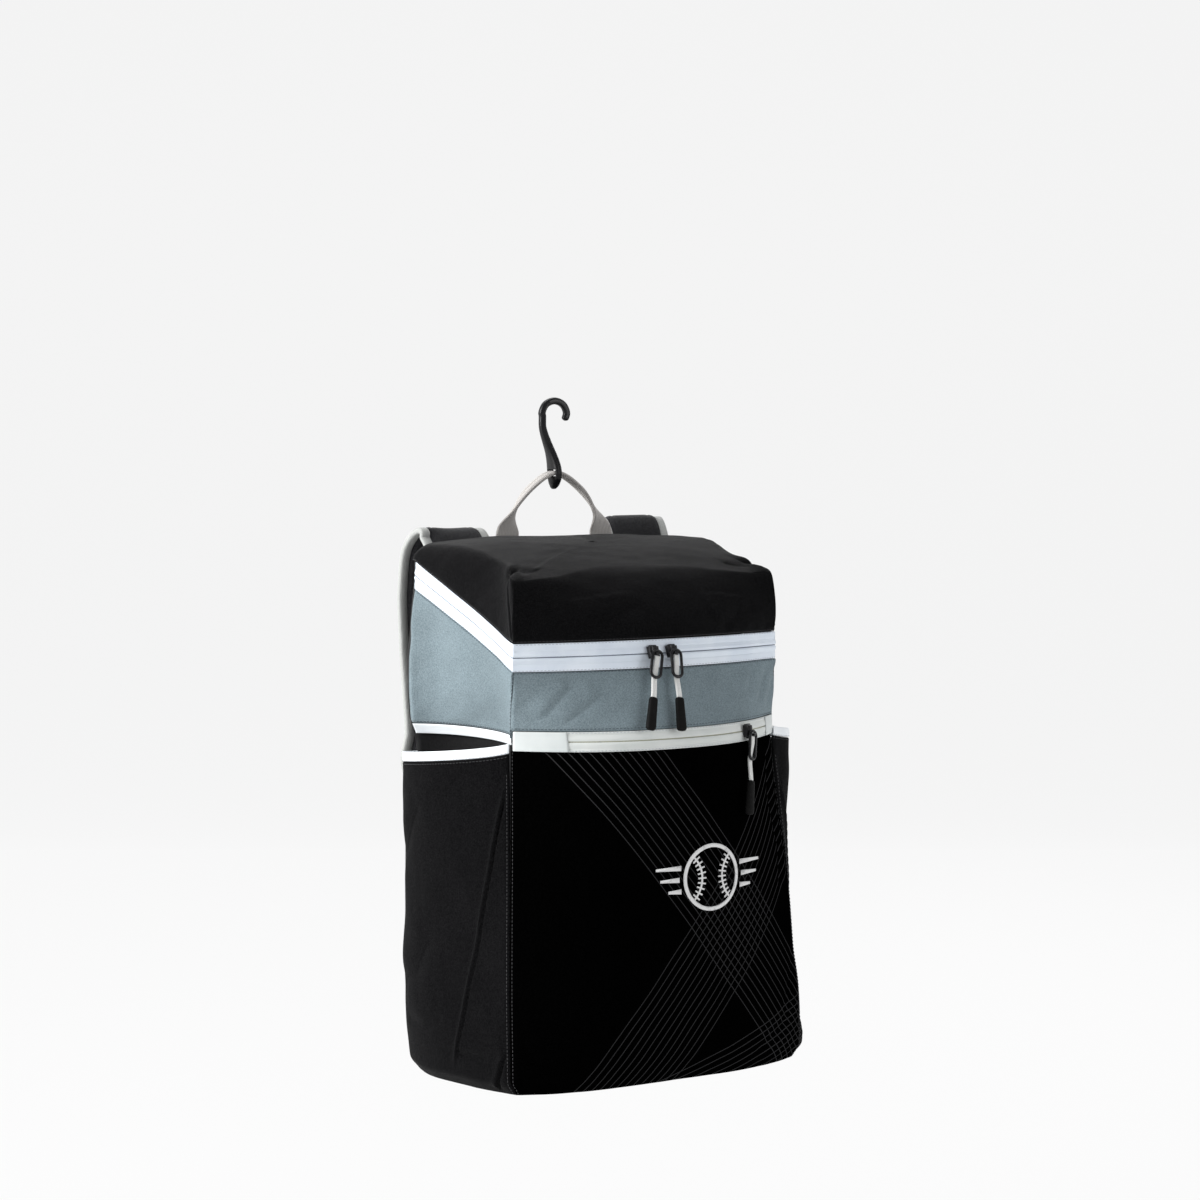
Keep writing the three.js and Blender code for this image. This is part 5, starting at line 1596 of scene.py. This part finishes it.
def lower_webbing(side):
    """Webbing from the anchor up through the lock, with its tail hanging."""
    sign = SIDES[side]
    bar = LOCK_TOP - LOCK_HEIGHT + LOCK_BAR / 2
    turn = math.hypot(LOCK_BAR, LOCK_DEPTH) / 2 + WEBBING_THICKNESS / 2 + 2 * CLEARANCE
    anchor_x = float(section("back", ANCHOR_HEIGHT)) * BODY_WIDTH / 2 - BACK_RADIUS - WEBBING / 2 - 2
    anchor_y = PAD_FRONT + WEBBING_THICKNESS / 2
    over = [(sign * LOCK_X, LOCK_Y - turn * math.cos(a), bar + turn * math.sin(a))
            for a in np.radians([0, 45, 90, 135, 180])]
    path = spline([
        (sign * anchor_x, anchor_y, ANCHOR_HEIGHT - 22),
        (sign * anchor_x, anchor_y, ANCHOR_HEIGHT - 11),
        (sign * anchor_x, anchor_y + 1.4, ANCHOR_HEIGHT - 2),
        (sign * mix(anchor_x, LOCK_X, 0.08), PAD_BACK + 3, PAD_FOOT - 6),
        (sign * mix(anchor_x, LOCK_X, 0.7), LOCK_Y - turn - 1, mix(ANCHOR_HEIGHT, bar, 0.7)),
        (sign * LOCK_X, LOCK_Y - turn, bar - 6),
        *over,
        (sign * LOCK_X, LOCK_Y + turn, bar - 6),
        (sign * LOCK_X, LOCK_Y + turn + 1, bar - TAIL),
    ], 220)
    outline = flat_band(WEBBING - 1, WEBBING_THICKNESS)
    rings = sweep(path, lambda t: outline, lambda t: (1, 0, 0))
    lofted(f"webbing_{side}", rings, MATERIALS["webbing"], [f"lower_webbing_{side}"])


# Handle: share of the length, shares of spread and rise, fold and turn
HANDLE_SPREAD, HANDLE_RISE = 49.0, 75.0
HANDLE_ROWS = np.array([
    (0.0, 1.00, -0.26, 0.00, 0.00),
    (0.1, 1.00, 0.00, 0.00, 0.00),
    (0.2, 0.98, 0.30, 0.08, 0.05),
    (0.3, 0.85, 0.54, 0.90, 0.60),
    (0.4, 0.51, 0.82, 1.00, 0.95),
    (0.5, 0.00, 1.00, 1.00, 1.00),
])
FOLDED_WIDTH, FOLDED_THICKNESS = 14.0, 4.0
APEX = BACK_RIM + HANDLE_RISE
HANDLE_Y = PAD_FRONT + WEBBING_THICKNESS / 2


def handle():
    """A loop of webbing, twisted and folded double where it runs through the hook."""
    half = [(-row[1] * HANDLE_SPREAD, HANDLE_Y, BACK_RIM + row[2] * HANDLE_RISE) for row in HANDLE_ROWS]
    other = [(-x, y, z) for x, y, z in reversed(half[:-1])]
    path = spline(half + other, 200)

    def column(k, t):
        return float(np.clip(monotone(HANDLE_ROWS[:, 0], HANDLE_ROWS[:, k], min(t, 1 - t)), 0, 1))

    def outline(t):
        folded = column(3, t)
        band = flat_band(mix(WEBBING, FOLDED_WIDTH, folded), mix(WEBBING_THICKNESS, FOLDED_THICKNESS, folded))
        groove = bell(band[:, 0], 1.1) * folded * 0.9
        band[:, 1] -= np.sign(band[:, 1]) * groove
        return band

    def side(t):
        angle = column(4, t) * math.pi / 2
        return (math.cos(angle), math.sin(angle), 0)

    lofted("handle_webbing", sweep(path, outline, side), MATERIALS["handle"], ["handle"])


# Fence hook
HOOK_WIRE, CROOK, SHANK = 6.4, 13.0, 46.0
EYE_HEIGHT = 34.0
SLOT_HEIGHT = FOLDED_THICKNESS + 1.6
EYE_TOP = APEX + SLOT_HEIGHT / 2 + EYE_HEIGHT - SLOT_HEIGHT - 12
CROOK_Z = EYE_TOP + SHANK - CROOK


def mesh_of(piece):
    """The piece's mesh with its modifiers applied."""
    bpy.context.view_layer.update()
    evaluated = piece.evaluated_get(bpy.context.evaluated_depsgraph_get())
    return bpy.data.meshes.new_from_object(evaluated)


# Shank and eye of the hook: height above the eye's foot, middle across, half width and half depth
SHANK_ROWS = (
    (0.0, -0.6, 1.6, 1.6), (1.6, -0.6, 3.0, 3.4), (4.5, -0.2, 4.1, 5.8), (9.0, 0.2, 4.5, 8.6),
    (14.5, 0.3, 4.5, 9.8), (20.0, -0.3, 4.4, 9.6), (26.0, -1.6, 4.2, 8.2), (34.0, -4.2, 3.9, 6.0),
    (42.0, -7.4, 3.7, 4.4), (50.0, -10.4, 3.5, 3.6), (57.0, -12.2, 3.2, 3.2),
)


# Stations of the hook between which its rib runs, and how many of them its ends take to fade
RIB_FIRST, RIB_LAST, RIB_FADE = 6, 118, 18


def hook():
    """A moulded crook that widens down its shank to an eye for the handle, with a raised rib in front."""
    r, y, c = CROOK, HANDLE_Y, CROOK_Z
    foot = APEX - SLOT_HEIGHT / 2 - 12
    rows = np.array(SHANK_ROWS)
    crook = [(-0.95 * r, y, c), (-0.98 * r, y, c + 0.15 * r), (-0.68 * r, y, c + 0.75 * r), (0, y, c + r),
             (0.68 * r, y, c + 0.75 * r), (0.98 * r, y, c + 0.15 * r), (0.8 * r, y, c - 0.38 * r)]
    shank = [(x, y, foot + up) for up, x, _, _ in rows if foot + up < c - 2]
    line = spline(shank + crook, 150)
    tangents = unit(np.gradient(line, axis=0))
    wire = HOOK_WIRE / 2
    rings = []
    for k, (centre, tangent) in enumerate(zip(line, tangents)):
        across = np.cross(tangent, (0, 1, 0))
        left = 1 - k / (len(line) - 1)
        end = math.sqrt(max(0.05, 1 - (1 - min(left / 0.02, 1)) ** 2))
        up = centre[2] - foot
        on_shank = k < len(line) * 0.75 and up < rows[-1, 0]
        half_x = float(np.interp(up, rows[:, 0], rows[:, 2])) if on_shank else wire
        half_y = float(np.interp(up, rows[:, 0], rows[:, 3])) if on_shank else wire
        rings.append([centre + across * u * end + np.array([0, v * end, 0])
                      for u, v in superellipse(half_x, half_y, 2.8, 28)])
    rings = np.array(rings)
    ribs = []
    for k in range(RIB_FIRST, RIB_LAST):
        centre, ring = line[k], rings[k]
        depth = (ring[:, 1].max() - ring[:, 1].min()) / 2
        width = np.linalg.norm(ring - centre, axis=1).max()
        share = smooth_step(min(k - RIB_FIRST, RIB_LAST - k) / RIB_FADE)
        ribs.append(centre + np.array([0.3 * min(width, 4.4) * share, -depth * 0.93, 0]))
    rib = sweep(np.array(ribs), lambda t: superellipse(1.25, 1.25, 2, 10), lambda t: (1, 0.2, 0))
    sides = rings.shape[1]
    faces = tube_faces(len(rings), sides)
    faces += [tuple(i + rings.shape[0] * sides for i in face) for face in tube_faces(len(rib), rib.shape[1])]
    points = np.concatenate([rings.reshape(-1, 3), rib.reshape(-1, 3)])
    piece = new_mesh("hook_body", points, faces, MATERIALS["hook"])
    points, faces = joined_box((0, y, APEX), (30, FOLDED_WIDTH + 1.6, SLOT_HEIGHT + 0.6))
    slot = new_mesh("hook_slot", points, faces, MATERIALS["hook"])
    for part in (piece, slot):
        face_outward(part)
    modified(piece, "REMESH", mode="VOXEL", voxel_size=0.0005, use_smooth_shade=True)
    modified(piece, "SMOOTH", factor=0.6, iterations=6)
    modified(piece, "BOOLEAN", operation="DIFFERENCE", object=slot, solver="EXACT")
    mesh = mesh_of(piece)
    for spare in (piece, slot):
        bpy.data.objects.remove(spare)
    done = bpy.data.objects.new("hook", mesh)
    scene.collection.objects.link(done)
    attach(done, "root")
    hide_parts("fence_hook")


compartment()
base()
back_pad()
yoke()
for end in SIDES:
    strap(end)
    ladder_lock(end)
    lower_webbing(end)
handle()
hook()
pocket()
pocket_zip()
sleeves()
band()
top_zip()
coil("top_coil", wrap_stations(), zip_middle, MATERIALS["coil"])
coil("pocket_coil", mix(SEAM_LEFT + 0.02, SEAM_RIGHT - 0.02, np.linspace(0, 1, 110)),
     lambda s: (POCKET_HEIGHT + BAND_BOTTOM) / 2 + 0 * s, MATERIALS["pocket_coil"])
lid()

# Floor and light
PALE = srgb("f4f4f4")


# Sizes of the sweep in metres: how far below the bag, before and behind it, to each side and up
SWEEP = {"drop": 0.35, "before": 6.0, "behind": 3.2, "bend": 1.2, "side": 9.0, "wall": 7.0}


def floor():
    """A seamless pale sweep: floor, curve and wall, square to the camera."""
    low = LAYOUT[2] - SWEEP["drop"]
    behind, bend = SWEEP["behind"], SWEEP["bend"]
    profile = [(-SWEEP["before"], low), (behind, low)]
    profile += [(behind + bend * math.sin(a), low + bend * (1 - math.cos(a)))
                for a in np.linspace(0, math.pi / 2, 16)]
    profile += [(behind + bend, low + SWEEP["wall"])]
    turn = -camera.rotation_euler.z
    points, faces = [], []
    for along, z in profile:
        for across in (-SWEEP["side"], SWEEP["side"]):
            points.append((across * math.cos(turn) + along * math.sin(turn),
                           -across * math.sin(turn) + along * math.cos(turn), z))
    for k in range(len(profile) - 1):
        faces.append((2 * k, 2 * k + 1, 2 * k + 3, 2 * k + 2))
    mesh = bpy.data.meshes.new("floor")
    mesh.from_pydata(points, [], faces)
    mesh.polygons.foreach_set("use_smooth", [True] * len(mesh.polygons))
    piece = bpy.data.objects.new("floor", mesh)
    scene.collection.objects.link(piece)
    n = Nodes("pale_floor")
    n.put(n.shader.inputs["Base Color"], (0.04, 0.04, 0.04, 1))
    n.put(n.shader.inputs["Emission Color"], PALE)
    n.shader.inputs["Emission Strength"].default_value = 0.94
    mesh.materials.append(n.done(roughness=0.9))


def light(name, place, size, power, aim=(0, 0, -0.3)):
    """A square lamp that faces the bag."""
    data = bpy.data.lights.new(name, "AREA")
    data.shape, data.size, data.energy = "SQUARE", size, power
    lamp = bpy.data.objects.new(name, data)
    lamp.location = place
    lamp.rotation_euler = (Vector(aim) - Vector(place)).to_track_quat("-Z", "Y").to_euler()
    scene.collection.objects.link(lamp)


floor()
light("key", (-2.7, 0.4, 0.7), 1.6, 155)
light("top", (0.0, 0.9, 2.4), 2.0, 42)
light("fill", (1.6, -3.0, 0.5), 1.6, 37)
light("rim", (2.2, 1.6, 0.9), 1.6, 22)
world = bpy.data.worlds.new("world")
world.use_nodes = True
world.node_tree.nodes["Background"].inputs["Color"].default_value = (0.95, 0.96, 1.0, 1)
world.node_tree.nodes["Background"].inputs["Strength"].default_value = 0.3
scene.world = world
scene.view_settings.view_transform = "Standard"
